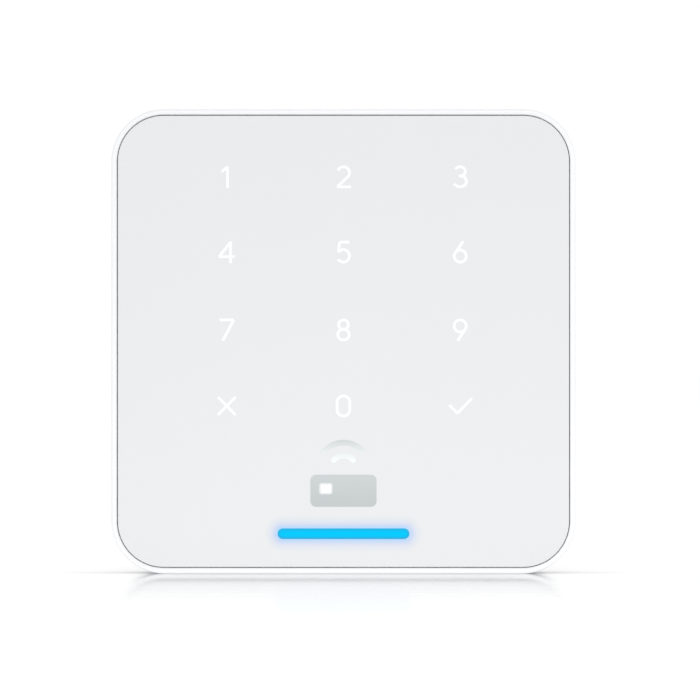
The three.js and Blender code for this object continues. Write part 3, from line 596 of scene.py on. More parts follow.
def soften(thing, width_mm, segments=2, angle=40):
    """Rounds every sharp edge a little."""
    bevel = thing.modifiers.new("soft_edges", "BEVEL")
    bevel.width = width_mm * MM
    bevel.segments = segments
    bevel.limit_method = "ANGLE"
    bevel.angle_limit = math.radians(angle)
    bevel.use_clamp_overlap = True
    return thing


def dress(thing, material, body, replaces=()):
    """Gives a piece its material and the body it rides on."""
    thing.data.materials.clear()
    thing.data.materials.append(MATERIALS[material] if isinstance(material, str) else material)
    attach(thing, body)
    if replaces:
        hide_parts(*replaces)
    return thing


# ------------------------------------------------------------------ housing

# (x, z) signs of the four corners.
FOUR = ((-1, 1), (1, 1), (1, -1), (-1, -1))
# How far a cutting piece goes past the face it cuts.
PAST = 1

WALL = 2.0
FRONT_WALL_REAR, FRONT_WALL_FRONT = 14.8, 16.2
RECESS_BACK = 17.7
# The locating rib: its outer and inner faces, in from the inside of the wall, and its depth.
RIB_GAP, RIB_INSET, RIB_REACH = 1.1, 2.4, 7.6
RIB_HALF = HALF - WALL - RIB_INSET
POCKET_STEP = 0.6

LOCK_DEPTH = (node_box("lock_screw")[4] + node_box("lock_screw")[5]) / 2
LOCK_SEAT = BODY_Z0 + 1.8
LOCK_HEAD_ROOM_R, LOCK_WAY_R = 2.25, 1.45
LOCK_BOSS_HALF, LOCK_BOSS_BOTTOM, LOCK_BOSS_TOP = 5.0, 1.5, 4.0
LUG_FRONT = BRACKET[5]

COVER_REAR, COVER_FRONT = 5.5, 7.3
SCREW_AT = middle(node_box("cover_screw_2"))[0]
SCREW_BOSS_R, SCREW_BORE_R = 2.5, 1.2
BOARD_FRONT = node_box("main_board")[5]
POST_X, POST_Z = 36.0, 14.0
POST_R, POST_BORE_R = 2.4, 1.1
LINK_WIDTH, LINK_HEIGHT = 13, 5.4


def nested_ring(depth, half, inset=0.0):
    """An outline that follows the body's round corners at a smaller half width."""
    half = half - inset
    radius = CORNER_R - (HALF - half)
    return (depth, rounded(-half, half, -half, half, radius, 20))


def hollow_boss(radius, start):
    """Profile of a moulded boss that grows from the front wall towards the rear."""
    chamfer, foot = 0.2, 0.25
    return [(radius - chamfer, start), (radius, start + chamfer), (radius, FRONT_WALL_REAR - 0.3),
            (radius + foot, FRONT_WALL_REAR), (radius + foot, FRONT_WALL_REAR + 0.5)]


def lead_in(radius, start, end):
    """Profile of a screw hole with a small countersunk mouth."""
    mouth = 0.3
    return [(radius + mouth, start - PAST), (radius + mouth, start), (radius, start + mouth),
            (radius, end)]


def make_shell():
    """One skin: over the rib, up and round the side wall, then into the panel's recess."""
    rear_edge, front_edge, chamfer = 0.4, 0.55, 0.12
    inner = HALF - WALL
    recess = PANEL_HALF + SEAM
    rib_out = inner - RIB_GAP
    rib_end = COVER[4] + RIB_REACH
    pocket = RIB_HALF + POCKET_STEP
    inside = [
        (FRONT_WALL_REAR, RIB_HALF), (rib_end, RIB_HALF), (rib_end, rib_out),
        (FRONT_WALL_REAR, rib_out), (FRONT_WALL_REAR, inner), (SHELL_BACK + chamfer, inner),
        (SHELL_BACK, inner + chamfer),
    ]
    face = [
        (SHELL_FRONT, recess + chamfer), (SHELL_FRONT - chamfer, recess), (RECESS_BACK, recess),
        (RECESS_BACK, pocket), (FRONT_WALL_FRONT, pocket),
    ]
    rings = [nested_ring(depth, half) for depth, half in inside]
    rings += [nested_ring(SHELL_BACK + rise, HALF, inset)
              for inset, rise in edge_steps(rear_edge, 4)]
    rings += [nested_ring(SHELL_FRONT - rise, HALF, inset)
              for inset, rise in reversed(edge_steps(front_edge, 8))]
    rings += [nested_ring(depth, half) for depth, half in face]
    return loft("housing_shell", rings)


def make_housing():
    shell = make_shell()
    solid = [plate("boss", -LOCK_BOSS_HALF, LOCK_BOSS_HALF, BODY_Z0 + LOCK_BOSS_BOTTOM,
                   BODY_Z0 + LOCK_BOSS_TOP, 0.4, SHELL_BACK, LUG_FRONT, steps=4)]
    holes = []
    for sx, sz in FOUR:
        x, z = sx * SCREW_AT, sz * SCREW_AT
        solid.append(turned("boss", x, z, hollow_boss(SCREW_BOSS_R, COVER_FRONT)))
        bore = lead_in(SCREW_BORE_R, COVER_FRONT, FRONT_WALL_REAR - 1)
        holes.append(turned("hole", x, z, bore, 24))
        x, z = sx * POST_X, sz * POST_Z
        solid.append(turned("post", x, z, hollow_boss(POST_R, BOARD_FRONT)))
        bore = lead_in(POST_BORE_R, BOARD_FRONT, FRONT_WALL_FRONT - 0.5)
        holes.append(turned("hole", x, z, bore, 24))
    combine(shell, solid, "UNION")
    mouth = 0.2
    seat = upright("seat", 0, LOCK_DEPTH, [
        (LOCK_HEAD_ROOM_R + mouth, BODY_Z0 - PAST), (LOCK_HEAD_ROOM_R + mouth, BODY_Z0),
        (LOCK_HEAD_ROOM_R, BODY_Z0 + mouth), (LOCK_HEAD_ROOM_R, LOCK_SEAT),
    ])
    way = upright("way", 0, LOCK_DEPTH, [
        (LOCK_WAY_R, LOCK_SEAT - 0.5), (LOCK_WAY_R, BODY_Z0 + LOCK_BOSS_TOP + PAST)])
    room_x, room_z = 1.2, 0.7
    slot = centred("slot", 0, BAR_Z, 2 * BAR_X + room_x, 2 * BAR_HALF + room_z, 0.3,
                   FRONT_WALL_REAR - PAST, FRONT_WALL_FRONT + PAST)
    link = centred("link", *middle(node_box("connector_socket")), LINK_WIDTH, LINK_HEIGHT, 0.3,
                   FRONT_WALL_REAR - PAST, FRONT_WALL_FRONT + PAST)
    combine(shell, [seat, way, slot, link, *holes])
    return smooth(shell)


dress(make_housing(), "housing", "reader", ["housing"])


# ------------------------------------------------------------------ face panel, bar and legends


def make_panel():
    half, radius = PANEL_HALF, CORNER_R - (HALF - PANEL_HALF)
    panel = plate("face_panel", -half, half, -half, half, radius, PANEL_BACK, FACE,
                  soft_rear=0.1, soft_front=0.2, steps=20, rounds=5)
    slot_x, slot_half = BAR_X + BAR_GAP, BAR_HALF + BAR_GAP
    slot = plate("slot", -slot_x, slot_x, BAR_Z - slot_half, BAR_Z + slot_half, slot_half,
                 PANEL_BACK - PAST, FACE + PAST, steps=12)
    return smooth(combine(panel, [slot]))


def make_bar():
    flange_gap = 0.3
    bar = plate("light_bar_lens", -BAR_X, BAR_X, BAR_Z - BAR_HALF, BAR_Z + BAR_HALF, BAR_HALF,
                BAR[4], FACE, soft_front=0.12, steps=12, rounds=4)
    flange = plate("flange", *BAR[:4], 0.6, FRONT_WALL_FRONT + flange_gap, PANEL_BACK, steps=4)
    return smooth(combine(bar, [flange], "UNION"))


dress(make_panel(), "panel", "reader", ["front_panel"])
dress(make_bar(), "light_guide", "reader", ["light_bar"])

LEGEND_STEP_X = 22.58
LEGEND_ROWS = (31.81, 17.25, 2.2, -12.5)
# Half of a digit's height along its centrelines, and the widths of the strokes.
DIGIT_HALF = 1.94
STROKE, SIGN_STROKE = 0.56, 0.53
# How far an inlay stands above the face and goes into it.
INLAY, SUNK = 0.025, 0.15


def arc(cx, cz, rx, rz, start, stop, steps=28):
    """Points along an ellipse, angles in degrees."""
    points = []
    for i in range(steps + 1):
        turn = math.radians(start + (stop - start) * i / steps)
        points.append((cx + rx * math.cos(turn), cz + rz * math.sin(turn)))
    return points


# Centrelines, with the middle of the digit at 0 and its top and bottom at 1 and -1.
GLYPHS = {
    "one": [[(-0.5, 0.5), (0.08, 1.0)], [(0.08, 1.04), (0.08, -1.12)]],
    "two": [arc(0, 0.42, 0.6, 0.58, 158, -45) + [(-0.62, -1.0)], [(-0.66, -1.0), (0.76, -1.0)]],
    "three": [
        arc(-0.02, 0.54, 0.52, 0.46, 152, -90) + [(-0.16, 0.08)],
        [(-0.16, 0.08)] + arc(-0.02, -0.46, 0.64, 0.54, 90, -112) + [(-0.66, -0.7)],
    ],
    "four": [
        [(0.38, 1.0), (-0.76, -0.46)], [(-0.78, -0.46), (0.8, -0.46)],
        [(0.38, 1.06), (0.38, -1.12)],
    ],
    "five": [
        [(0.6, 1.0), (-0.4, 1.0)], [(-0.4, 1.0), (-0.5, -0.04)],
        arc(0.0, -0.37, 0.59, 0.63, 147, -112) + [(-0.6, -0.76)],
    ],
    "six": [arc(0, -0.4, 0.6, 0.6, 0, 360, 48), [(0.3, 1.1), (-0.52, -0.12)]],
    "seven": [[(-0.72, 1.0), (0.7, 1.0)], [(0.7, 1.0), (-0.4, -1.08)]],
    "eight": [arc(0, 0.52, 0.48, 0.48, 0, 360, 48), arc(0, -0.46, 0.57, 0.54, 3, 363, 44)],
    "nine": [arc(0, 0.4, 0.6, 0.6, 0, 360, 48), [(-0.26, -1.08), (0.52, 0.12)]],
    "cancel": [[(-0.88, 0.9), (0.88, -0.9)], [(-0.88, -0.9), (0.88, 0.9)]],
    "zero": [arc(0, 0.36, 0.63, 0.64, 0, 180, 24) + arc(0, -0.36, 0.63, 0.64, 180, 360, 24)
             + [(0.63, 0.36)]],
    "confirm": [[(-1.1, 0.1), (-0.28, -0.74)], [(-0.28, -0.74), (1.17, 0.78)]],
}
KEY_ORDER = ("one", "two", "three", "four", "five", "six", "seven", "eight", "nine",
             "cancel", "zero", "confirm")
SIGNS = ("cancel", "confirm")


def side_points(points, half, closed):
    """The two sides of a stroke of even width along a smooth line."""
    left, right = [], []
    last = len(points) - 1
    for i, (x, z) in enumerate(points):
        before = points[i - 1] if i > 0 or closed else points[i]
        after = points[(i + 1) % len(points)] if i < last or closed else points[i]
        dx, dz = after[0] - before[0], after[1] - before[1]
        size = math.hypot(dx, dz)
        left.append((x - dz / size * half, z + dx / size * half))
        right.append((x + dz / size * half, z - dx / size * half))
    return left, right


def stroke(name, points, width, rear, front, round_ends=False):
    """A flat stroke along a line, or a ring where the line closes on itself."""
    half = width / 2
    closed = math.dist(points[0], points[-1]) < 1e-6
    if closed:
        left, right = side_points(points[:-1], half, True)
        return loft(name, [(rear, left), (front, left), (front, right), (rear, right)], closed=True)
    left, right = side_points(points, half, False)

    def cap(centre, toward):
        start = math.degrees(math.atan2(toward[1] - centre[1], toward[0] - centre[0]))
        return arc(centre[0], centre[1], half, half, start, start - 180, 10)[1:-1]

    if round_ends:
        outline = left + cap(points[-1], left[-1]) + right[::-1] + cap(points[0], right[0])
    else:
        outline = left + right[::-1]
    return loft(name, [(rear, outline), (front, outline)])


def make_legend(name, x, z):
    """One digit or sign, its strokes joined into one inlay."""
    width = SIGN_STROKE if name in SIGNS else STROKE
    strokes = []
    for i, line in enumerate(GLYPHS[name]):
        placed = [(x + px * DIGIT_HALF, z + pz * DIGIT_HALF) for px, pz in line]
        strokes.append(stroke(f"stroke_{i}", placed, width, FACE - SUNK, FACE + INLAY))
    first = strokes[0]
    if strokes[1:]:
        combine(first, strokes[1:], "UNION")
    first.name = f"legend_{name}"
    return smooth(first)


for index, key in enumerate(KEY_ORDER):
    column, row = index % 3 - 1, index // 3
    dress(make_legend(key, column * LEGEND_STEP_X, LEGEND_ROWS[row]), "legend", "reader")

# The card sign. Its places are from MARK_Z: the card and chip below it, the waves above.
MARK_Z = -25.4
CARD_Z, CARD_WIDTH, CARD_HEIGHT = MARK_Z - 3.5, 12.8, 6.2
CHIP_X, CHIP_Z, CHIP_WIDTH, CHIP_HEIGHT, CHIP_GAP = -3.4, MARK_Z - 3.1, 2.0, 1.6, 0.3
WAVE_Z, WAVE_RADII, WAVE_WIDTH = MARK_Z + 0.8, (2.5, 5.0), 1.1
WAVE_LEFT, WAVE_RIGHT = 138, 42
PALE_FROM, PALE_TO = MARK_Z + 1.5, MARK_Z + 6.2


def make_mark():
    """A plain card with two waves over it: a sign for where a card is held."""
    dark = ink_material("silver_ink_dark", linear(182, 187, 188), linear(192, 197, 198),
                        CARD_Z - CARD_HEIGHT / 2, MARK_Z)
    pale = ink_material("silver_ink_pale", linear(238, 241, 242), linear(196, 202, 202),
                        PALE_FROM, PALE_TO)
    rear, front = FACE - SUNK, FACE + INLAY
    card = centred("mark_card", 0, CARD_Z, CARD_WIDTH, CARD_HEIGHT, 1.1, rear, front, steps=8)
    window = centred("mark_cut", CHIP_X, CHIP_Z, CHIP_WIDTH + 2 * CHIP_GAP,
                     CHIP_HEIGHT + 2 * CHIP_GAP, 0.5, rear - PAST, FACE + PAST, steps=6)
    dress(smooth(combine(card, [window])), dark, "reader")
    chip = centred("mark_chip", CHIP_X, CHIP_Z, CHIP_WIDTH, CHIP_HEIGHT, 0.3, rear, front, steps=6)
    dress(smooth(chip), pale, "reader")
    for i, radius in enumerate(WAVE_RADII):
        line = arc(0, WAVE_Z, radius, radius, WAVE_LEFT, WAVE_RIGHT, 24)
        wave = stroke(f"mark_wave_{i + 1}", line, WAVE_WIDTH, rear, front, round_ends=True)
        dress(smooth(wave), pale, "reader")


make_mark()


# ------------------------------------------------------------------ wall bracket

PEG_X, PEG_Z, LIFT = 28.0, 26.0, 5.0
PLATE_THICK = 3.3
# A keyhole: its neck, the entry above it and the room at its rear for a peg's head.
NECK_HALF, NECK_DROP, ENTRY_R, ENTRY_FLARE = 1.7, 1.8, 3.2, 0.25
HEAD_ROOM_HALF, HEAD_ROOM_DEPTH = 3.1, 1.8
LUG_HALF, LUG_TOP = 6.0, -25.0
WINDOW = (-12.0, 12.0, -25.0, -5.0)
FIXING_R, FIXING_X, FIXING_REACH = 1.9, 30.0, 4.0
HOLE_X, HOLE_RISE, HOLE_HEAD_R = 15.0, 4.5, 2.5
TOP_HOLE_RISE = 4.0
CORE_X, CORE_HALF, CORE_BOTTOM, CORE_TOP, CORE_DEPTH = 12.5, 6.5, 2.0, 22.0, 1.2
NUT_GAP = 0.15
# What a round end's radius is short of half its slot's width.
ROUND_END = 0.01


def keyhole(x, z):
    """The cuts of one keyhole: its neck, its entry above and the room for a peg's head."""
    half, room = NECK_HALF, HEAD_ROOM_HALF
    flare = ENTRY_R + ENTRY_FLARE
    return [
        plate("slot", x - half, x + half, z - NECK_DROP, z + LIFT, half - ROUND_END, -PAST,
              PLATE_THICK + PAST, steps=10),
        turned("entry", x, z + LIFT, [
            (ENTRY_R, -PAST), (ENTRY_R, PLATE_THICK - ENTRY_FLARE), (flare, PLATE_THICK),
            (flare, PLATE_THICK + PAST),
        ]),
        plate("pocket", x - room, x + room, z - room, z + LIFT + ENTRY_R, room - ROUND_END, -PAST,
              HEAD_ROOM_DEPTH, steps=10),
    ]


def make_bracket():
    x0, x1, z0, z1, rear, front = BRACKET
    thick = PLATE_THICK
    body = plate("mounting_plate", x0, x1, z0, z1, 4, rear, thick, soft_rear=0.25, soft_front=0.45,
                 steps=12, rounds=3)
    lug = plate("lug", -LUG_HALF, LUG_HALF, z0 + 0.01, LUG_TOP, 0.5, rear + 0.05, front,
                soft_front=0.25, steps=4)
    combine(body, [lug], "UNION")
    cuts = []
    for sx, sz in FOUR:
        cuts += keyhole(sx * PEG_X, sz * PEG_Z)
    cuts.append(plate("window", *WINDOW, 1.5, -PAST, thick + 3 * PAST, steps=8))
    for sx in (-1, 1):
        x = sx * FIXING_X
        cuts.append(plate("fixing", x - FIXING_R, x + FIXING_R, -FIXING_REACH, FIXING_REACH,
                          FIXING_R - ROUND_END, -PAST, thick + PAST, steps=10))
    low = z0 + HOLE_RISE
    for x, z in ((0, PEG_Z + TOP_HOLE_RISE), (-HOLE_X, low), (HOLE_X, low)):
        cuts.append(turned("hole", x, z, [
            (FIXING_R, -PAST), (FIXING_R, thick - (HOLE_HEAD_R - FIXING_R)), (HOLE_HEAD_R, thick),
            (HOLE_HEAD_R, thick + PAST),
        ]))
    way = LOCK_WAY_R - 0.05
    cuts.append(upright("way", 0, LOCK_DEPTH, [(way, z0 - PAST), (way, LUG_TOP + PAST)]))
    nut = node_box("lock_nut")
    cuts.append(plate("nut_slot", nut[0] - NUT_GAP, nut[1] + NUT_GAP, nut[2] - NUT_GAP,
                      nut[3] + NUT_GAP, 0.1, nut[4] - NUT_GAP, front + PAST, steps=2))
    for x in (-CORE_X, CORE_X):
        cuts.append(plate("core", x - CORE_HALF, x + CORE_HALF, CORE_BOTTOM, CORE_TOP, 0.6, -PAST,
                          CORE_DEPTH, steps=6))
    return smooth(soften(combine(body, cuts), 0.08, 1, 60))


dress(make_bracket(), "bracket", "bracket", ["wall_bracket"])


# ------------------------------------------------------------------ rear cover

# The connector bay's opening, and its wall, roof and lead-in lip.
BAY = (-11.0, 11.0, -26.0, 21.5)
BAY_WALL, BAY_ROOF, BAY_LIP = 1.5, 1.2, 0.3
JACK_TAB = 2.0
JACK_GAP = 0.3
TONGUE_GAP, TONGUE_THICK, TONGUE_REACH, TONGUE_EDGE = 0.3, 0.9, 1.7, 0.15
BOSS_ROOM_R = 2.8
# (radius, depth): a head for the keyhole's rear room, a neck, and a foot on the cover.
PEG_PROFILE = [
    (2.5, 0.5), (2.8, 0.75), (2.8, 1.3), (2.6, 1.5),
    (1.5, 1.5), (1.5, 3.6),
    (3.2, 3.6), (3.4, 3.8), (3.4, 5.2), (3.7, 5.5), (3.7, 6.2),
]
SOUND_RING = 4.5
SOUND_HOLES = 6


def grown(box, by):
    """The x0, x1, z0, z1 of a box, larger by a margin all round."""
    return box[0] - by, box[1] + by, box[2] - by, box[3] + by


def mouthed(mouth, radius, slope):
    """Profile of a hole through the cover with a wider mouth at the rear."""
    return [(mouth, COVER_REAR - PAST), (mouth, COVER_REAR), (radius, COVER_REAR + slope),
            (radius, 8)]


def make_tongue():
    """The ring on the cover that goes inside the housing's rib, cut away round the screw bosses."""
    outer = RIB_HALF - TONGUE_GAP
    inner = outer - TONGUE_THICK
    root, end, edge = COVER_FRONT - 0.5, COVER_FRONT + TONGUE_REACH, TONGUE_EDGE
    tongue = loft("tongue", [
        nested_ring(root, inner), nested_ring(root, outer), nested_ring(end - edge, outer),
        nested_ring(end, outer, edge), nested_ring(end, inner + edge),
        nested_ring(end - edge, inner),
    ], closed=True)
    rooms = [turned("room", sx * SCREW_AT, sz * SCREW_AT,
                    [(BOSS_ROOM_R, COVER_FRONT), (BOSS_ROOM_R, end + PAST)])
             for sx, sz in FOUR]
    return combine(tongue, rooms)


def make_cover():
    half = COVER[1]
    floor = plate("back_cover", -half, half, -half, half, CORNER_R - (HALF - half), COVER_REAR,
                  COVER_FRONT, soft_rear=0.3, steps=16, rounds=3)
    bay = plate("bay", *grown(BAY, BAY_WALL), 2, COVER_REAR + 0.2, COVER[5], steps=6)
    parts = [bay, make_tongue()]
    parts += [turned("peg", sx * PEG_X, sz * PEG_Z, PEG_PROFILE) for sx, sz in FOUR]
    combine(floor, parts, "UNION")
    behind = COVER_REAR - PAST
    jack_body = (JACK[0] + JACK_TAB, JACK[1] - JACK_TAB, JACK[2], JACK[3])
    cuts = [
        plate("bay_in", *BAY, 0.8, behind, COVER[5] - BAY_ROOF, steps=5),
        plate("bay_lip", *grown(BAY, BAY_LIP), 1.1, behind, COVER_REAR + BAY_LIP, steps=5),
        plate("jack_way", *grown(jack_body, JACK_GAP), 0.3, behind, COVER[5] + PAST, steps=2),
        turned("tamper_way", *middle(node_box("tamper_plunger")), mouthed(1.8, 1.5, 0.3)),
        turned("reset_way", *middle(node_box("reset_button")), mouthed(1.4, 0.8, 0.6), 32),
    ]
    x, z = middle(node_box("speaker"))
    ring = circle(x, z, SOUND_RING, SOUND_HOLES)
    for place in [(x, z), *ring]:
        cuts.append(turned("sound", *place, mouthed(1.3, 1, 0.3), 32))
    head_room, way, seat = 2.3, 1.2, COVER_REAR + 0.8
    for sx, sz in FOUR:
        cuts.append(turned("screw_way", sx * SCREW_AT, sz * SCREW_AT, [
            (head_room, behind), (head_room, seat), (way, seat), (way, 8)], 32))
    return smooth(combine(floor, cuts))


dress(make_cover(), "cover", "reader", ["rear_cover"])


# ------------------------------------------------------------------ network jack

TAB_REAR, TAB_INSET, TAB_ROOT = 13.9, 4, 0.5
PLUG_HALF, PLUG_HEIGHT, PLUG_REACH = 5.9, 6.5, 12
LATCH_HALF, LATCH_STEP, COMB_HALF = 3, 1.3, 4.8


def make_jack():
    """A modular socket that opens downwards, with a latch channel and a way to its comb."""
    x0, x1, z0, z1, rear, front = JACK
    body = plate("jack_shell", x0 + JACK_TAB, x1 - JACK_TAB, z0, z1, 0.4, rear, front,
                 soft_rear=0.25, soft_front=0.25, steps=3, rounds=2)
    reach = JACK_TAB + TAB_ROOT
    tabs = [plate("tab", start, start + reach, z0 + TAB_INSET, z1 - TAB_INSET, 0.3, TAB_REAR, front,
                  steps=3)
            for start in (x0, x1 - reach)]
    combine(body, tabs, "UNION")
    mouth_rear = rear + 0.8
    mouth_front = mouth_rear + PLUG_HEIGHT
    below, end = z0 - PAST, z0 + PLUG_REACH
    cuts = [
        plate("mouth", -PLUG_HALF, PLUG_HALF, below, end, 0.15, mouth_rear, mouth_front, steps=2),
        plate("latch", -LATCH_HALF, LATCH_HALF, below, end - 3, 0.15, mouth_front - 0.5,
              mouth_front + LATCH_STEP, steps=2),
        plate("comb_way", -COMB_HALF, COMB_HALF, end - 0.5, end + 1.5, 0.1, mouth_rear + 0.1,
              mouth_rear + 1.9, steps=2),
    ]
    return smooth(soften(combine(body, cuts), 0.12, 2, 50))


dress(make_jack(), "black_plastic", "reader", ["network_jack"])


# ------------------------------------------------------------------ screws


def thread(shank, start, end, pitch, groove):
    """Profile points of a thread's grooves from start to just short of end."""
    points = []
    while start + pitch < end:
        points += [(shank, start), (shank - groove, start + pitch / 2)]
        start += pitch
    return points


def pan_screw(name, node):
    """A small cross-recess screw along the depth."""
    box = node_box(node)
    x, z = middle(box)
    rear, front = box[4:]
    head = (box[1] - box[0]) / 2
    shank = head / 2
    seat, edge = rear + 1.1, 0.05
    profile = [(head * 0.55, rear), (head * 0.8, rear + 0.08), (head * 0.95, rear + 0.3),
               (head, rear + 0.6), (head, seat - edge), (head - edge, seat), (shank, seat),
               *thread(shank, seat + 0.3, front - 0.3, 0.4, 0.12),
               (shank, front - 0.35), (shank * 0.55, front)]
    screw = turned(name, x, z, profile, 40)
    long_side, short_side = head * 1.15, 0.42
    floor = rear + 0.65
    cuts = [centred("drive", x, z, long_side, short_side, 0.1, rear - PAST, floor, steps=2),
            centred("drive", x, z, short_side, long_side, 0.1, rear - PAST, floor, steps=2)]
    return dress(smooth(combine(screw, cuts)), "steel", "reader", [node])


for number in range(1, 5):
    pan_screw(f"cover_fixing_{number}", f"cover_screw_{number}")
    pan_screw(f"board_fixing_{number}", f"board_screw_{number}")


def make_lock_screw():
    """A socket-head screw that goes up into the bracket's nut."""
    x0, x1, z0, z1, rear, front = node_box("lock_screw")
    x, depth = (x0 + x1) / 2, (rear + front) / 2
    head, shank, edge = (x1 - x0) / 2, 1.25, 0.06
    profile = [(head - 0.25, z0), (head - 0.07, z0 + 0.07), (head, z0 + 0.25),
               (head, LOCK_SEAT - edge), (head - edge, LOCK_SEAT), (shank, LOCK_SEAT),
               *thread(shank, LOCK_SEAT + 1.5, z1 - 0.4, 0.45, 0.14),
               (shank, z1 - 0.45), (shank * 0.6, z1)]
    screw = upright("locking_screw", x, depth, profile)
    key_r, key_depth = 0.85, 0.9
    key = upright("key", x, depth, [(key_r, z0 - PAST), (key_r, z0 + key_depth)], 6)
    return dress(smooth(combine(screw, [key])), "steel", "lock_screw", ["lock_screw"])


make_lock_screw()


# ------------------------------------------------------------------ CAD pieces that stay

# How much the edges of a CAD piece that stays are rounded, in millimetres.
STAYS_SOFT = {
    "processor_shield": 0.12, "radio_module": 0.12, "transformer": 0.2, "capacitor": 0.2,
    "speaker": 0.15, "tamper_plunger": 0.15, "reset_button": 0.12, "lock_nut": 0.12,
    "tamper_switch": 0.15, "reset_switch": 0.12, "jack_contacts": 0.05, "connector_socket": 0.12,
    "connector_plug": 0.12, "main_board": 0.06, "touch_board": 0.05,
}

for name, node in NODES.items():
    node.data.materials.clear()
    node.data.materials.append(MATERIALS[SLOT_OF[name]])
    if name in STAYS_SOFT:
        soften(node, STAYS_SOFT[name])


# ------------------------------------------------------------------ floor and light

MIRROR_REACH = 0.13
MIRROR_BLUR = 0.13
SHADOW_REACH = 0.016
TABLE_GLOW = 0.79
# How much painted shade darkens the mirror in front of the face.
FRONT_PAINTED_SHADE = 0.24
WHITE = (1.0, 1.0, 1.0)


def table_distance(n, x, y):
    """Metres along the table from the object's footprint."""
    beyond_x = n.math("SUBTRACT", n.math("ABSOLUTE", x), HALF * MM)
    from_middle = n.math("ADD", y, FACE * MM / 2)
    beyond_y = n.math("SUBTRACT", n.math("ABSOLUTE", from_middle), FACE * MM / 2)
    return n.hypotenuse(n.math("MAXIMUM", beyond_x, 0.0), n.math("MAXIMUM", beyond_y, 0.0))


def floor_material():
    """Lit white table: a soft mirror near the object, a painted contact shadow under its front
    edge, and painted shade on the mirror in front of it.
    """
    n = Nodes("table_white")
    x, y, _ = n.axes()
    near = n.math("DIVIDE", table_distance(n, x, y), MIRROR_REACH, clamp=True)
    mirror = n.levels(near, [(0.0, 0.92), (0.12, 0.86), (0.2, 0.68), (0.3, 0.45), (0.45, 0.2),
                             (0.6, 0.08), (1.0, 0)])
    path = n.tree.nodes.new("ShaderNodeLightPath")
    mirror = n.math("MULTIPLY", mirror, path.outputs["Is Camera Ray"])

    # forward runs from 0 at the wall to 0.5 under the face and 1 as far again in front of it.
    forward = n.math("MULTIPLY", n.math("DIVIDE", y, -FACE * MM), 0.5, clamp=True)
    beside = n.math("DIVIDE", n.math("ABSOLUTE", x), HALF * MM)
    # Painted contact shadow: an occlusion pass, kept to a band under the front edge and to the
    # corners, darkens the table's glow (tone) and its colour.
    shadow = n.tree.nodes.new("ShaderNodeAmbientOcclusion")
    shadow.samples = 16
    shadow.inputs["Distance"].default_value = SHADOW_REACH
    closed = n.math("SUBTRACT", 1.0, shadow.outputs["AO"])
    band = n.levels(forward, [(0.0, 0.14), (0.26, 0.16), (0.38, 0.5), (0.42, 0.9), (0.46, 0.9),
                              (0.49, 0.12), (0.6, 0.03)])
    corner = n.levels(beside, [(0.76, 0.55), (0.82, 1)])
    shade_share = n.math("MULTIPLY", n.math("MULTIPLY", closed, band), corner, clamp=True)
    tone = n.mix(shade_share, WHITE, linear(112, 112, 114))
    n.set(colour=n.mix(shade_share, (0.3, 0.3, 0.3), (0.05, 0.05, 0.05)), roughness=0.6,
          specular=0.0, glow=tone, glow_strength=TABLE_GLOW)

    # Painted shade on the mirror in front of the face, fading out towards the sides and forwards;
    # with the painted contact shadow it tints the mirror grey.
    under = n.levels(beside, [(0.6, 1), (1.0, 0)], "EASE")
    close = n.levels(forward, [(0.44, 0), (0.49, 1), (0.72, 0.85), (1.0, 0)])
    front = n.math("MULTIPLY", n.math("MULTIPLY", under, close), FRONT_PAINTED_SHADE)
    painted_shade_total = n.math("ADD", shade_share, front, clamp=True)
    gloss = n.tree.nodes.new("ShaderNodeBsdfGlossy")
    gloss.inputs["Roughness"].default_value = MIRROR_BLUR
    n.put(gloss.inputs["Color"], n.mix(painted_shade_total, WHITE, linear(190, 190, 192)))
    blend = n.tree.nodes.new("ShaderNodeMixShader")
    n.put(blend.inputs[0], mirror)
    n.put(blend.inputs[1], n.shader.outputs[0])
    n.put(blend.inputs[2], gloss.outputs[0])
    n.put(n.output.inputs[0], blend.outputs[0])
    return n.material


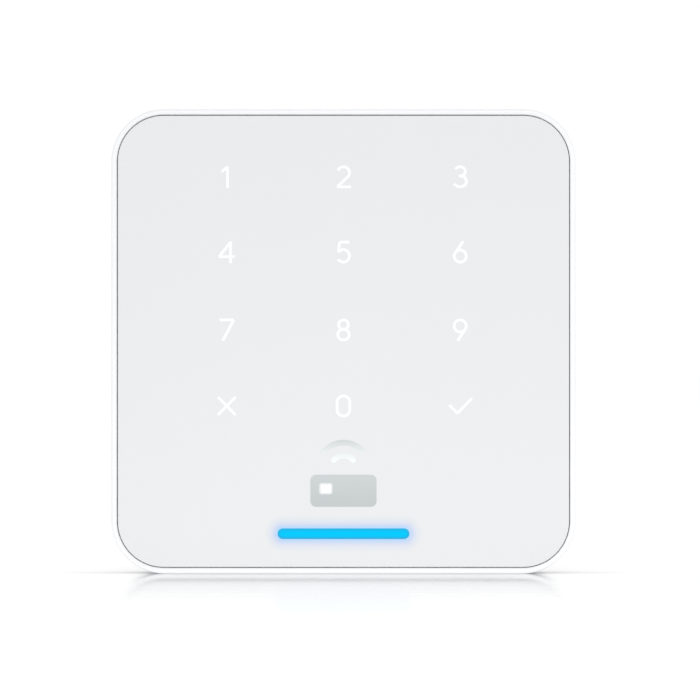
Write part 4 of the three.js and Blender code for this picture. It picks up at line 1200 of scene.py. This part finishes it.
def add_floor():
    size = 4000
    level = BODY_Z0 - 0.01
    corners = [(-size, -size, level), (size, -size, level), (size, size, level),
               (-size, size, level)]
    floor = new_object("table", corners, [(0, 1, 2, 3)])
    floor.data.materials.append(floor_material())
    return floor


def spare(light, thing):
    """Keeps a light off one thing."""
    spared = bpy.data.collections.new(f"{light.name}_spares")
    spared.objects.link(thing)
    spared.collection_objects[0].light_linking.link_state = "EXCLUDE"
    light.light_linking.receiver_collection = spared


def add_light(name, place, aim, size, power, colour=WHITE, height=None):
    """A rectangular light, square unless it has a height. It lights but isn't seen."""
    data = bpy.data.lights.new(name, "AREA")
    data.shape = "RECTANGLE"
    data.size = size
    data.size_y = height or size
    data.energy = power
    data.color = colour
    light = bpy.data.objects.new(name, data)
    bpy.context.scene.collection.objects.link(light)
    light.location = place
    toward = [b - a for a, b in zip(place, aim)]
    light.rotation_euler = Vector(toward).to_track_quat("-Z", "Y").to_euler()
    light.visible_glossy = False
    light.visible_camera = False
    return light


def add_world():
    """White all round. Diffuse light is a little dimmer than what is seen."""
    world = bpy.data.worlds.new("studio")
    bpy.context.scene.world = world
    world.use_nodes = True
    tree = world.node_tree
    back = tree.nodes["Background"]
    back.inputs["Color"].default_value = (1, 1, 1, 1)
    path = tree.nodes.new("ShaderNodeLightPath")
    level = tree.nodes.new("ShaderNodeMapRange")
    seen, diffuse = 1.02, 0.72
    level.inputs["To Min"].default_value = seen
    level.inputs["To Max"].default_value = diffuse
    tree.links.new(path.outputs["Is Diffuse Ray"], level.inputs["Value"])
    tree.links.new(level.outputs["Result"], back.inputs["Strength"])


TABLE = add_floor()
add_world()
CENTRE = (0, -0.01, 0)
add_light("front_fill", (0.0, -1.3, 0.1), CENTRE, 1.2, 5.4)
strip_level = -0.038
strip = add_light("low_strip", (0, -0.09, strip_level), (0, -0.02, strip_level), 0.16, 0.0075,
                  height=0.006)
spare(strip, TABLE)
add_light("key", (0.45, -0.7, 0.75), CENTRE, 0.5, 1.4, (1.0, 0.99, 0.97))
add_light("back_fill", (0.5, 1.1, 0.7), CENTRE, 0.8, 2.0)
bpy.context.scene.view_settings.view_transform = "Standard"
bpy.context.scene.view_settings.look = "None"
